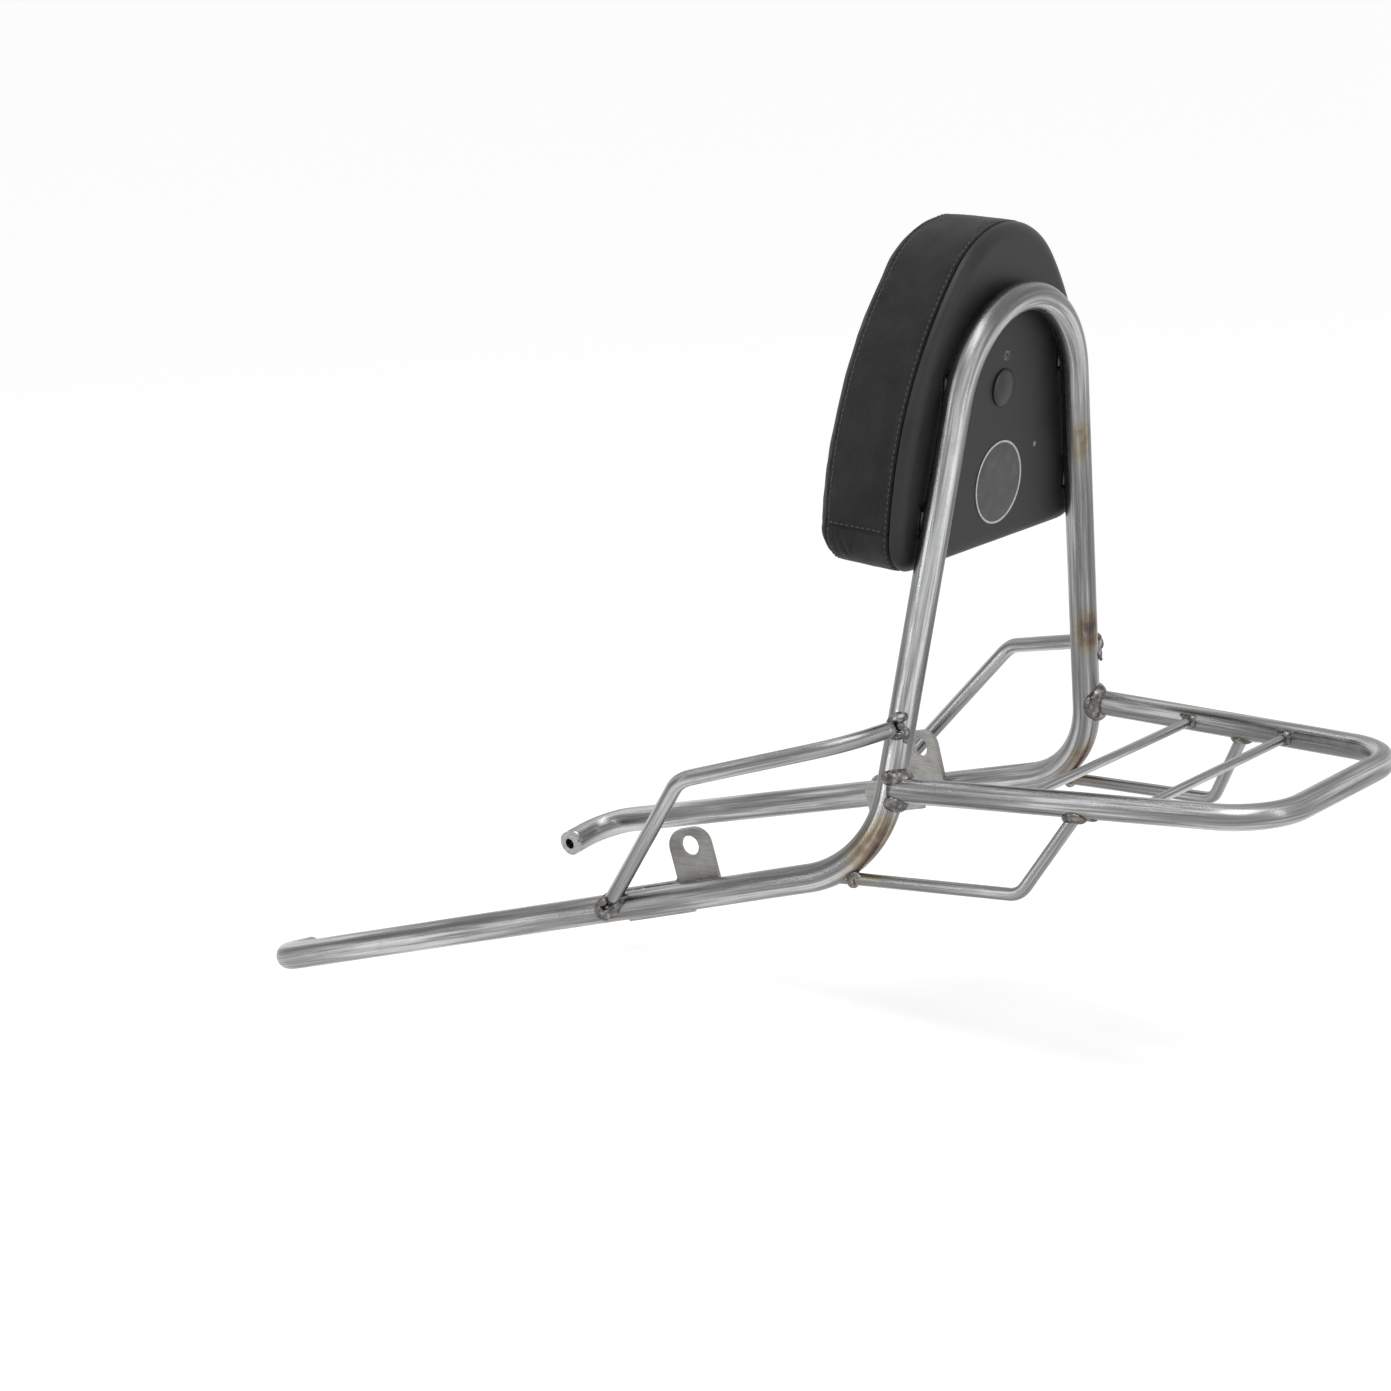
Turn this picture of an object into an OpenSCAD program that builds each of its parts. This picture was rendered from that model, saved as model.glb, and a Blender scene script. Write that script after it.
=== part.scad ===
/* [Hoop] */
// Outer diameter of the main tube
tube_d = 18; // [16:0.5:25]
// Wall of the main tube
tube_wall = 2; // [1:0.25:3]
// Half the distance between the two legs at deck height, centre to centre
leg_half = 116.6; // [100:0.1:135]
// Lean of the hoop towards the rear, from upright
rake = 6.6; // [0:0.1:15]
// Lean of each leg towards the middle, from upright
leg_taper = 11.78; // [5:0.01:18]
// Centreline radius of the arch at the top
arch_r = 70; // [50:1:85]
// Drop from the deck to the corner where a leg turns into its rail
corner_drop = 49.4; // [40:0.1:80]
// Centreline radius of that corner
corner_r = 70; // [40:1:72]
// Fall of the rails towards the front
rail_fall = 13.3; // [0:0.1:20]
// Outward splay of the rails towards the front
rail_splay = 7.44; // [0:0.01:12]
// Length of a rail from its corner to the front bend, along the tube
rail_len = 468; // [380:1:520]
// Centreline radius of the front bend
front_r = 26; // [20:1:40]
// Length of the stub that turns inwards at the front, from the bend's corner
stub_len = 40; // [32:1:60]

/* [Rack] */
// Outer diameter of the rack tube
rack_d = 16; // [12:0.5:20]
// Wall of the rack tube
rack_wall = 1.5; // [1:0.25:2.5]
// Half the width of the rack at the legs, centre to centre
rack_half = 121; // [105:0.1:140]
// Inward taper of each side of the rack towards the rear
rack_taper = 8.78; // [0:0.01:15]
// Reach of the rack behind the legs
rack_reach = 243.4; // [200:0.1:300]
// Centreline radius of the rack's rear corners
rack_corner_r = 42; // [25:1:60]
// Diameter of the two crossbars
bar_d = 6; // [5:0.5:10]
// Distance of the front crossbar behind the legs
front_bar_x = 86.3; // [60:0.1:110]
// Distance of the rear crossbar behind the legs
rear_bar_x = 160.4; // [130:0.1:190]

/* [Grab rails] */
// Diameter of the grab rails
grab_d = 10; // [8:0.5:12]
// Foot of the left grab rail, on the outer top of the rail
grab_foot = [187.5, 159, -85.8];
// Corner where the left grab rail turns back
grab_corner = [104.7, 192.5, 10.9];
// Slight kink in the left grab rail, just ahead of the leg
grab_kink = [11.5, 149.6, 33.2];
// End of the left grab rail, on the outside of the leg
grab_end = [-6, 121, 38.5];
// Centreline radius of the corner
grab_corner_r = 16; // [12:1:40]
// Centreline radius of the kink
grab_kink_r = 60; // [20:1:90]

/* [Struts] */
// Diameter of the struts under the rack
strut_d = 8; // [6:0.5:12]
// Front end of the left strut, inside the underside of the hoop's corner
strut_front = [31, 130.1, -57.9];
// Corner where the left strut turns up
strut_corner = [-91.7, 119.5, -55.6];
// Distance behind the legs at which the strut reaches the rack tube
strut_top_x = 126.9; // [110:0.1:150]
// Centreline radius of the strut's corner
strut_r = 12; // [8:1:30]

/* [Brackets] */
// Thickness of the bracket plates
plate_t = 4; // [3:0.5:6]
// Distance of the bracket's bolt hole from the hoop's corner, along the rail
hole_along = 132.7; // [120:0.1:150]
// Height of the bolt hole above the rail's axis
hole_up = 30; // [24:0.5:45]
// Diameter of the bolt hole
hole_d = 13; // [8:0.5:15]
// Width of the bracket's upright tab
tab_w = 30; // [25:1:40]
// Corner radius at the top of the tab
tab_r = 11.5; // [5:0.5:14]
// Plate left above the hole
tab_over = 5; // [3:0.5:8]
// Length of the bracket's foot along the rail, ahead of the tab
foot_len = 44; // [30:1:60]

/* [Front fittings] */
// Bore of the tapped bush in each front stub
bush_bore = 8; // [6:1:10]
// Length of the bush inside the tube
bush_len = 16; // [12:1:24]
// Thickness of the bush's collar
collar_t = 3; // [2:0.5:5]

/* [Pad] */
// Half the width of the pad at its widest
pad_half = 109.3; // [95:0.1:115]
// Height of the pad's bottom edge above the deck, along the hoop
pad_low = 127.4; // [120:0.1:150]
// Height at which the sides begin to curve in
side_top = 160.4; // [155:0.1:200]
// Radius of the curved sides
side_r = 222.4; // [180:0.1:240]
// Radius of the crown
crown_r = 71.9; // [65:0.1:84]
// Height of the centre of the crown's arc
crown_z = 259.7; // [250:0.1:265]
// Radius of the bottom corners
pad_corner_r = 24; // [15:1:30]
// Gap between the hoop and the pad's back
pad_gap = 1; // [0.5:0.25:3]
// Thickness of the covered backboard
board_t = 7.8; // [5:0.1:10]
// Thickness of the cushion at its edge
cushion_t = 55.8; // [40:0.1:65]
// How far the cushion sinks from its back to its front
droop = 1.8; // [0:0.1:5]
// How far the cushion draws in from its back to its front
taper = 1; // [0:0.1:4]
// Rise of the cushion's domed front
dome_t = 9; // [6:1:16]
// Radius of the cushion's front edge
edge_r = 15.8; // [4:0.1:20]
// Diameter of the plug in the pad's back
plug_d = 24; // [16:1:30]
// Height of the plug above the deck
plug_z = 229; // [215:1:240]
// Diameter of the round badge plate
badge_d = 53; // [40:1:60]
// Height of the badge above the deck
badge_z = 168.5; // [160:0.5:180]
// Sideways offset of the badge
badge_y = -2; // [-4:0.5:4]

/* [Welds] */
// Width of the heavy beads where the rack meets the legs
rack_bead = 4; // [2:0.5:5]
// Width of the beads on the thin rods
rod_bead = 2.2; // [1.5:0.1:3]

/* [Hidden] */
$fn = 48;
bend_swell = 0.03;
bend_lap = 0.05;
// Overshoot of a cutting solid past the face that it opens, and gap left between pieces that only just clear
past = 1;
clear = 0.05;

tube_r = tube_d / 2;
rack_r = rack_d / 2;
bar_r = bar_d / 2;
grab_r = grab_d / 2;
strut_r0 = strut_d / 2;
steel = [0.72, 0.72, 0.73];
bead_steel = [0.62, 0.61, 0.6];
black = [0.1, 0.1, 0.11];

// Points on the left leg's axis, by height
function leg_at(z) = [-z * tan(rake), leg_half - z * tan(leg_taper), z];
function mirrored(p) = [p.x, -p.y, p.z];
function unit(v) = v / norm(v);
// How far a bar turns at v on its way from a to b
function turn_at(a, v, b) = acos(unit(v - a) * unit(b - v));
// Length that a bend of radius r takes off each straight
function trim_at(a, v, b, r) = r * tan(turn_at(a, v, b) / 2);

// Main tube: corner, front bend and stub end on the left, and the point where the legs' axes cross
corner = leg_at(-corner_drop);
rail_dir = [cos(rail_fall) * cos(rail_splay), cos(rail_fall) * sin(rail_splay), -sin(rail_fall)];
front = corner + rail_dir * rail_len;
stub_dir = unit([0.1, -1, -0.15]);
stub_end = front + stub_dir * stub_len;
apex = leg_at(leg_half / tan(leg_taper));
arch_turn = round(turn_at(corner, apex, mirrored(corner)) * 500) / 500;
leg_top = apex + unit(corner - apex) * (trim_at(corner, apex, mirrored(corner), arch_r) - bend_lap);
// Level inward direction, square to the left rail
rail_in = unit(cross(rail_dir, [0, 0, 1]));

// Rack: a side's axis at distance s behind the legs
function rack_at(s) = [-s, rack_half - s * tan(rack_taper), 0];
rack_start = 3;
rack_middle = [-rack_reach, 0, 0];

grab_points = [grab_foot, grab_corner, grab_kink, grab_end];
strut_points = [strut_front, strut_corner, rack_at(strut_top_x)];

// Pad: heights run along the hoop, and depths run forwards from the hoop's plane
board_n = tube_r + pad_gap;
cushion_n = board_n + board_t + 0.3;
pocket_t = 1.6;
skin = 0.1;
lug_t = 2.5;
lug_w = 11;
lug_h = 20;
screw_d = 6;
screw_head_d = 11.5;
screw_head_t = 3.2;
cap_stem_d = 8;
upper_lug_z = 240;
lower_lug_z = 160;
arch_z = apex.z / cos(rake) - arch_r / cos(arch_turn / 2);
// Sideways place of the hoop's tube at each lug
upper_lug_y = sqrt(arch_r * arch_r - (upper_lug_z - arch_z) * (upper_lug_z - arch_z));
lower_lug_y = leg_at(lower_lug_z * cos(rake)).y;
left_lugs = [[upper_lug_y, upper_lug_z], [lower_lug_y, lower_lug_z]];
lug_places = [for (s = [1, -1], p = left_lugs) [s * p[0], p[1]]];

// Turns the local X axis to e and the local Z axis to n, two unit vectors square to each other
module faced(origin, e, n) {
    q = cross(n, e);
    translate(origin)
        rotate([atan2(q.z, n.z), -asin(e.z), atan2(e.y, e.x)])
            children();
}

// Straight bar from a to b
module rod(a, b, r) {
    d = unit(b - a);
    translate(a)
        rotate([0, acos(d.z), atan2(d.y, d.x)])
            cylinder(h = norm(b - a), r = r);
}

// Direction of stretch i, and the sideways direction in which it bends at its end
function heading(p, i) = unit(p[i + 1] - p[i]);
function sideways(p, i) = unit(heading(p, i + 1) - heading(p, i) * (heading(p, i + 1) * heading(p, i)));
// Turn at the end of stretch i, and the roll of the tube before it, as a bending bench sets them
function bench_turn(p, i) = round(turn_at(p[i], p[i + 1], p[i + 2]) * 1000) / 1000;
function carried(p, i) = sideways(p, i - 1) * cos(bench_turn(p, i - 1))
    - heading(p, i - 1) * sin(bench_turn(p, i - 1));
function bench_roll(p, i) = i == 0 ? 0
    : atan2(cross(carried(p, i), sideways(p, i)) * heading(p, i), carried(p, i) * sideways(p, i));
function trim_after(p, bends, i) = i < 0 || i > len(bends) - 1 ? 0
    : trim_at(p[i], p[i + 1], p[i + 2], bends[i]);
function feed(p, bends, i) = norm(p[i + 1] - p[i]) - trim_after(p, bends, i - 1) - trim_after(p, bends, i);

// One straight and the bend after it, then the rest of the bar. A bend is a hair thicker than
// its straights, which run a little way into it
module bench_step(p, bends, r, i) {
    back_lap = i == 0 ? 0 : bend_lap;
    front_lap = i == len(bends) ? 0 : bend_lap;
    translate([0, 0, -back_lap])
        cylinder(h = feed(p, bends, i) + back_lap + front_lap, r = r);
    if (i < len(bends))
        translate([0, 0, feed(p, bends, i)])
            rotate([0, 0, bench_roll(p, i)])
                translate([bends[i], 0, 0]) {
                    rotate([90, 0, 180])
                        rotate_extrude(angle = bench_turn(p, i))
                            translate([bends[i], 0])
                                circle(r + bend_swell);
                    rotate([0, bench_turn(p, i), 0])
                        translate([-bends[i], 0, 0])
                            bench_step(p, bends, r, i + 1);
                }
}

// Solid round bar through the points, with a bend at each inner one
module bent_bar(points, bends, r) {
    faced(points[0], sideways(points, 0), heading(points, 0))
        bench_step(points, bends, r, 0);
}

// Local frame of the hoop's plane: X forwards from it, Z up along it
module on_hoop() {
    rotate([0, -rake, 0]) children();
}

// Filled left half of the hoop below its arch: leg, corner, rail, front bend and stub
module left_hoop_bar(r, extra = 0) {
    bent_bar([leg_top, corner, front, stub_end + stub_dir * extra], [corner_r, front_r], r);
}

module hoop_bar(r, extra = 0) {
    on_hoop()
        translate([0, 0, arch_z])
            rotate([0, -90, 0])
                rotate([0, 0, -arch_turn / 2])
                    rotate_extrude(angle = arch_turn)
                        translate([arch_r, 0])
                            circle(r + bend_swell);
    both_sides() left_hoop_bar(r, extra);
}

// Filled left half of the rack tube, from the middle of its rear bar to the leg
module left_rack_bar(r, extra = 0) {
    bent_bar([rack_middle, rack_at(rack_reach), rack_at(rack_start - extra)], [rack_corner_r], r);
}

module both_sides() {
    children();
    mirror([0, 1, 0]) children();
}

// Bead along the line where a bar meets another: child 0 is the other bar, child 1 that bar grown
module saddle(a, b, r, bead) {
    d = unit(b - a);
    difference() {
        intersection() {
            rod(a, b, r + bead);
            children(1);
        }
        rod(a - d * past, b + d * past, r);
        children(0);
    }
}

module main_hoop() {
    color(steel)
        difference() {
            hoop_bar(tube_r);
            hoop_bar(tube_r - tube_wall, past);
        }
}

module rack_loop() {
    color(steel)
        difference() {
            both_sides() left_rack_bar(rack_r);
            both_sides() left_rack_bar(rack_r - rack_wall, past);
            both_sides() left_hoop_bar(tube_r);
        }
}

module crossbar(s) {
    color(steel)
        difference() {
            rod(rack_at(s), mirrored(rack_at(s)), bar_r);
            both_sides() left_rack_bar(rack_r);
        }
}

module front_crossbar() {
    crossbar(front_bar_x);
}

module rear_crossbar() {
    crossbar(rear_bar_x);
}

module left_grab_rail() {
    color(steel)
        difference() {
            bent_bar(grab_points, [grab_corner_r, grab_kink_r], grab_r);
            left_hoop_bar(tube_r);
        }
}

module left_strut() {
    color(steel)
        difference() {
            bent_bar(strut_points, [strut_r], strut_r0);
            left_hoop_bar(tube_r);
            left_rack_bar(rack_r);
        }
}

// Bracket outline: X along the rail from the hoop's corner, Y up from the rail's axis
module bracket_outline() {
    rear = hole_along - tab_w / 2;
    top = hole_up + hole_d / 2 + tab_over;
    foot_up = 12;
    foot_down = 12.5;
    tab_down = 7.5;
    overlap = 6;
    translate([rear, -tab_down]) square([tab_w, tab_down + top - tab_r]);
    translate([rear + tab_r, 0]) square([tab_w - 2 * tab_r, top]);
    for (x = [rear + tab_r, rear + tab_w - tab_r])
        translate([x, top - tab_r]) circle(tab_r);
    translate([rear + tab_w - overlap, -foot_down]) square([foot_len + overlap, foot_down + foot_up]);
}

module left_bracket() {
    color(steel)
        faced(corner, rail_dir, rail_in)
            translate([0, 0, tube_r])
                difference() {
                    linear_extrude(plate_t) bracket_outline();
                    translate([hole_along, hole_up, -past]) cylinder(h = plate_t + 2 * past, d = hole_d);
                }
}

// Turned bush pressed into the stub, with a collar on the tube's end
module left_front_bush() {
    spigot_r = tube_r - tube_wall - clear;
    color(bead_steel)
        difference() {
            union() {
                rod(stub_end - stub_dir * bush_len, stub_end, spigot_r);
                rod(stub_end, stub_end + stub_dir * collar_t, tube_r);
            }
            rod(stub_end - stub_dir * (bush_len + past), stub_end + stub_dir * (collar_t + past),
                bush_bore / 2);
        }
}

// Heavy blobs round the ends of the rack tube, over its joint with the legs
module rack_welds() {
    blob_s = rack_start + 1.5;
    color(bead_steel)
        both_sides()
            difference() {
                translate(rack_at(blob_s)) sphere(rack_r + rack_bead);
                left_hoop_bar(tube_r);
                left_rack_bar(rack_r);
            }
}

module crossbar_welds() {
    reach = 30;
    color(bead_steel)
        both_sides()
            for (s = [front_bar_x, rear_bar_x])
                saddle(rack_at(s), rack_at(s) - [0, reach, 0], bar_r, rod_bead) {
                    left_rack_bar(rack_r);
                    left_rack_bar(rack_r + rod_bead);
                }
}

module strut_welds() {
    rear = rack_at(strut_top_x);
    color(bead_steel)
        both_sides() {
            saddle(rear, strut_corner, strut_r0, rod_bead) {
                left_rack_bar(rack_r);
                left_rack_bar(rack_r + rod_bead);
            }
            saddle(strut_front, strut_corner, strut_r0, rod_bead) {
                left_hoop_bar(tube_r);
                left_hoop_bar(tube_r + rod_bead);
            }
        }
}

module grab_rail_welds() {
    color(bead_steel)
        both_sides() {
            saddle(grab_foot, grab_corner, grab_r, rod_bead) {
                left_hoop_bar(tube_r);
                left_hoop_bar(tube_r + rod_bead);
            }
            saddle(grab_end, grab_kink, grab_r, rod_bead) {
                left_hoop_bar(tube_r);
                left_hoop_bar(tube_r + rod_bead);
            }
        }
}

// Beads in the groove between the rail and the bracket: two short ones below, one long one above
module bracket_welds() {
    tab_front = hole_along + tab_w / 2;
    tab_rear = hole_along - tab_w / 2;
    short_len = 9;
    lower_r = 3;
    upper_r = 2.5;
    end_gap = 3;
    groove = 0.83 * tube_r;
    sink = 1;
    color(bead_steel)
        both_sides()
            faced(corner, rail_dir, rail_in)
                difference() {
                    union() {
                        for (x = [tab_front, tab_front + foot_len - 2 * end_gap - short_len])
                            translate([x, -groove, tube_r - sink])
                                rotate([0, 90, 0]) cylinder(h = short_len, r = lower_r);
                        translate([tab_rear + end_gap, groove, tube_r - sink])
                            rotate([0, 90, 0]) cylinder(h = tab_w + foot_len - 2 * end_gap, r = upper_r);
                    }
                    rotate([0, 90, 0]) cylinder(h = rail_len, r = tube_r + clear);
                    translate([0, -tube_d, tube_r - bend_swell]) cube([rail_len, 2 * tube_d, tube_d]);
                }
}

// Plate outline drawn in Y and Z, made solid from depth n forwards
module sheet(n, t) {
    translate([n, 0, 0])
        rotate([90, 0, 90])
            linear_extrude(t)
                children();
}

// Pad outline, drawn in by inset all round
module pad_outline(inset) {
    half = pad_half - inset;
    side_x = side_r - pad_half;
    lean = [side_x, crown_z - side_top] / (side_r - crown_r);
    meet = crown_z + lean.y * (crown_r - inset);
    low = pad_low + inset;
    translate([0, crown_z]) circle(crown_r - inset, $fn = 96);
    intersection() {
        translate([-side_x, side_top]) circle(side_r - inset, $fn = 160);
        translate([side_x, side_top]) circle(side_r - inset, $fn = 160);
        translate([-half, side_top - 1]) square([2 * half, meet - side_top + 1]);
    }
    translate([-half, pad_low + pad_corner_r]) square([2 * half, side_top - pad_low - pad_corner_r]);
    translate([-pad_half + pad_corner_r, low]) square([2 * (pad_half - pad_corner_r), side_top - low]);
    for (s = [-1, 1])
        translate([s * (pad_half - pad_corner_r), pad_low + pad_corner_r]) circle(pad_corner_r - inset);
}

// The same outline at a share f of the way from the cushion's back to its front
module cushion_outline(f, inset) {
    translate([0, -droop * f]) pad_outline(taper * f + inset);
}

module lug_outline(grow) {
    w = lug_w + 2 * grow;
    h = lug_h + 2 * grow;
    translate([-w / 2, -h / 2]) square([w, h]);
}

// Flat lugs on the front of the hoop's tube, let into the back of the pad
module pad_lugs() {
    color(steel)
        on_hoop()
            for (p = lug_places)
                translate([0, p[0], p[1]])
                    difference() {
                        sheet(tube_r + bend_swell, lug_t) lug_outline(0);
                        translate([tube_r, 0, 0])
                            rotate([0, 90, 0]) cylinder(h = lug_t + past, d = screw_d + 2 * clear);
                    }
}

// Thin beads behind both edges of each lug
module lug_welds() {
    bead_r = 1.2;
    bead_len = lug_h - 6;
    color(bead_steel)
        difference() {
            on_hoop()
                for (p = lug_places, s = [-1, 1])
                    translate([tube_r - bead_r, p[0] + s * (lug_w / 2 - bead_r), p[1]])
                        cylinder(h = bead_len, r = bead_r, center = true);
            hoop_bar(tube_r);
        }
}

// Countersunk screws from the pad's side into the lugs
module lug_screws() {
    tip_n = tube_r + 0.3;
    len = board_n + board_t - tip_n;
    socket_d = 4;
    socket_t = 2;
    color(bead_steel)
        on_hoop()
            for (p = lug_places)
                translate([tip_n, p[0], p[1]])
                    rotate([0, 90, 0])
                        difference() {
                            union() {
                                cylinder(h = len - past, d = screw_d);
                                translate([0, 0, len - screw_head_t])
                                    cylinder(h = screw_head_t, d1 = screw_d, d2 = screw_head_d);
                            }
                            translate([0, 0, len - socket_t]) cylinder(h = socket_t + past, d = socket_d);
                        }
}

// Backboard with its smooth cover, pockets for the lugs and holes for the screws and the plug
module pad_board() {
    round_w = 9;
    round_t = board_t - 0.6;
    lug_play = 0.5;
    screw_play = 0.4;
    head_play = 1;
    front_n = board_n + board_t;
    color(black)
        on_hoop()
            difference() {
                hull() {
                    for (a = [0, 30, 60])
                        sheet(board_n + round_t * (1 - cos(a)), skin) pad_outline(round_w * (1 - sin(a)));
                    sheet(board_n + round_t, board_t - round_t) pad_outline(0);
                }
                for (p = lug_places)
                    translate([0, p[0], p[1]]) {
                        sheet(board_n - past, past + pocket_t) lug_outline(lug_play);
                        translate([board_n, 0, 0])
                            rotate([0, 90, 0]) cylinder(h = board_t + past, d = screw_d + screw_play);
                        translate([front_n - screw_head_t, 0, 0])
                            rotate([0, 90, 0])
                                cylinder(h = screw_head_t + clear,
                                    d1 = screw_d + head_play, d2 = screw_head_d + head_play);
                    }
                translate([board_n - past, 0, plug_z])
                    rotate([0, 90, 0]) cylinder(h = board_t + 2 * past, d = cap_stem_d + screw_play);
            }
}

// Foam cushion with its sewn cover: flat sides, a rounded front edge and a domed front
module pad_cushion() {
    edge_n = cushion_n + cushion_t - edge_r;
    front_n = cushion_n + cushion_t;
    // Rise of the dome as a share of its whole height, and how far in from the edge it is reached
    dome_steps = [[0.5, 30], [0.8, 44], [1, 62]];
    color(black)
        on_hoop()
            hull() {
                sheet(cushion_n, skin) cushion_outline(0, 0);
                for (a = [0, 22, 45, 67, 90])
                    sheet(edge_n + edge_r * sin(a), skin) cushion_outline(1, edge_r * (1 - cos(a)));
                for (d = dome_steps)
                    sheet(front_n + d[0] * dome_t, skin) cushion_outline(1, d[1]);
            }
}

// Domed plug with its stem in the board
module plug_cap() {
    rise = 4.3;
    dome_r = (plug_d * plug_d / 4 + rise * rise) / (2 * rise);
    color(black)
        on_hoop()
            translate([board_n, 0, plug_z])
                rotate([0, 90, 0]) {
                    intersection() {
                        translate([0, 0, dome_r - rise]) sphere(dome_r);
                        translate([0, 0, -rise]) cylinder(h = rise, d = plug_d);
                    }
                    cylinder(h = board_t - past, d = cap_stem_d);
                }
}

module badge_plate() {
    badge_t = 0.6;
    color([0.35, 0.35, 0.36])
        on_hoop()
            translate([board_n - badge_t, badge_y, badge_z])
                rotate([0, 90, 0])
                    cylinder(h = badge_t, d = badge_d);
}

main_hoop();
rack_loop();
front_crossbar();
rear_crossbar();
left_grab_rail();
mirror([0, 1, 0]) left_grab_rail();  // right_grab_rail
left_strut();
mirror([0, 1, 0]) left_strut();  // right_strut
left_bracket();
mirror([0, 1, 0]) left_bracket();  // right_bracket
left_front_bush();
mirror([0, 1, 0]) left_front_bush();  // right_front_bush
rack_welds();
crossbar_welds();
strut_welds();
grab_rail_welds();
bracket_welds();
pad_lugs();
lug_welds();
lug_screws();
pad_board();
pad_cushion();
plug_cap();
badge_plate();
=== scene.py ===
"""Looks of the sissy bar: bent steel tube, rods, plates, weld beads and the padded backrest."""
import math

import bmesh
import bpy
from mathutils import Matrix, Vector, noise
from mathutils.bvhtree import BVHTree


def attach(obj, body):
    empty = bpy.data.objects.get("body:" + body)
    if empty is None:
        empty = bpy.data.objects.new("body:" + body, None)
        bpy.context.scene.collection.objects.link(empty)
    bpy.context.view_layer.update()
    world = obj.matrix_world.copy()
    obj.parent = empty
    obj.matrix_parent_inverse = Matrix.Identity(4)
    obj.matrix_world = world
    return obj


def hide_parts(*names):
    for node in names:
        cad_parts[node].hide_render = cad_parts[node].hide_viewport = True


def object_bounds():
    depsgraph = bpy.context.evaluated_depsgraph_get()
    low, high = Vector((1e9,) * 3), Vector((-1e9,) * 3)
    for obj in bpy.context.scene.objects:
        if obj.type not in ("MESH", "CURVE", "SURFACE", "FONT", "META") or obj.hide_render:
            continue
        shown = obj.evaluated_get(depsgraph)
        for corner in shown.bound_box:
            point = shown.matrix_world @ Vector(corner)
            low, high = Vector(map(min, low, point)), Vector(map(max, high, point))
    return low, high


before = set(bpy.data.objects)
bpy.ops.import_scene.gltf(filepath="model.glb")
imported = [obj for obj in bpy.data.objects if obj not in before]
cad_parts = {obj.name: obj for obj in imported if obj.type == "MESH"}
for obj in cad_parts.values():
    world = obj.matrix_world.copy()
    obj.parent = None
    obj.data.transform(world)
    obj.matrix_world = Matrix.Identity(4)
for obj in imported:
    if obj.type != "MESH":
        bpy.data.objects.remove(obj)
cad_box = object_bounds()

# Sizes in millimetres, the same as the part's own
MM = 0.001
TUBE_R = 9.0
TUBE_WALL = 2.0
RACK_R = 8.0
BAR_R = 3.0
GRAB_R = 5.0
STRUT_R = 4.0
RAKE = math.radians(6.6)
TAPER = math.radians(11.78)
LEG_HALF = 116.6
ARCH_R = 70.0
CORNER_DROP = 49.4
CORNER_R = 70.0
RAIL_FALL = math.radians(13.3)
RAIL_SPLAY = math.radians(7.44)
RAIL_LEN = 468.0
FRONT_R = 26.0
STUB_LEN = 40.0
RACK_HALF = 121.0
RACK_TAPER = math.radians(8.78)
RACK_REACH = 243.4
RACK_CORNER_R = 42.0
RACK_START = 3.0
FRONT_BAR = 86.3
REAR_BAR = 160.4
STRUT_TOP = 126.9
PLATE_T = 4.0
HOLE_ALONG = 132.7
HOLE_UP = 30.0
HOLE_D = 13.0
TAB_W = 30.0
TAB_R = 11.5
TAB_OVER = 5.0
FOOT_LEN = 44.0
FOOT_UP = 12.0
FOOT_DOWN = 12.5
TAB_DOWN = 7.5
BOARD_N = 10.0
BOARD_T = 7.8
BOARD_ROUND = 9.0
CUSHION_N = 18.1
CUSHION_END = 73.9
EDGE_R = 15.8
DOME_T = 9.0
DROOP = 1.8
DRAW_IN = 1.0
PAD_HALF = 109.3
PAD_LOW = 127.4
SIDE_TOP = 160.4
SIDE_R = 222.4
CROWN_R = 71.9
CROWN_Z = 259.7
PAD_CORNER_R = 24.0
FRONT_SEAM = 63.8
CROSS_SEAM = 154.0
PLUG_Z = 229.0
PLUG_D = 24.0
BADGE_Z = 168.5
BADGE_Y = -2.0
BADGE_D = 53.0

# Height on the leg where the grab rail ends
GRAB_END = 38.5
# Drop of the bracket foot's upper edge, of which the photograph shows nothing above the rail
FOOT_DROP = 3.0
# How far inside a tube's skin an end that meets it is cut
COPE_IN = 0.2
# Start of a search line behind the end that it cuts or welds
COPE_FROM = 40
MEET_FROM = 60
# Depth of the bore that shows at an open end
BORE_DEEP = 14
# Weld beads: step from ripple to ripple, and voxel of the fused skin in metres
BEAD_PITCH = 1.7
BEAD_VOXEL = 0.0005
# Rounding of the brackets' edges
PLATE_EDGE = 0.55
# Even steps round half the pad's outline
EVEN_STEPS = 88
# Cloth simulation of the cushion
CLOTH_FRAMES = 20
CLOTH_PRESSURE = 4
# Creases at the side strip's lower corners: depth at this height, lean, and how far they sink in
CREASE_H = 142
CREASES = ((52, 0.35, 0.9), (45, -0.25, 0.7), (57, 0.1, 0.5))
# Stitches of the pad: thickness, step and length
STITCH_R = 0.45
STITCH_PITCH = 3.9
STITCH_LEN = 2.8

# The photograph's own viewpoint, found from the tubes' straights and bends: yaw, pitch and roll in degrees,
# place in metres and lens in millimetres on a sensor 36 mm wide
CAMERA_TURN = (53.286, 13.886, -2.936)
CAMERA_PLACE = (-1.32244, 2.08438, 0.64926)
CAMERA_LENS = 104.06

# Lengths below are in metres. The floor lies a little under the part, which a vehicle carries in the photograph
FLOOR_GAP = 0.09
# What the floor gives off to the camera and to reflections, so that it reads as white
FLOOR_LIFT = 0.28
# The world's grey where it lights the part
SKY = 0.45


def leg_at(z):
    """Point on the left leg's axis at a height above the deck."""
    return Vector((-z * math.tan(RAKE), LEG_HALF - z * math.tan(TAPER), z))


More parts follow.
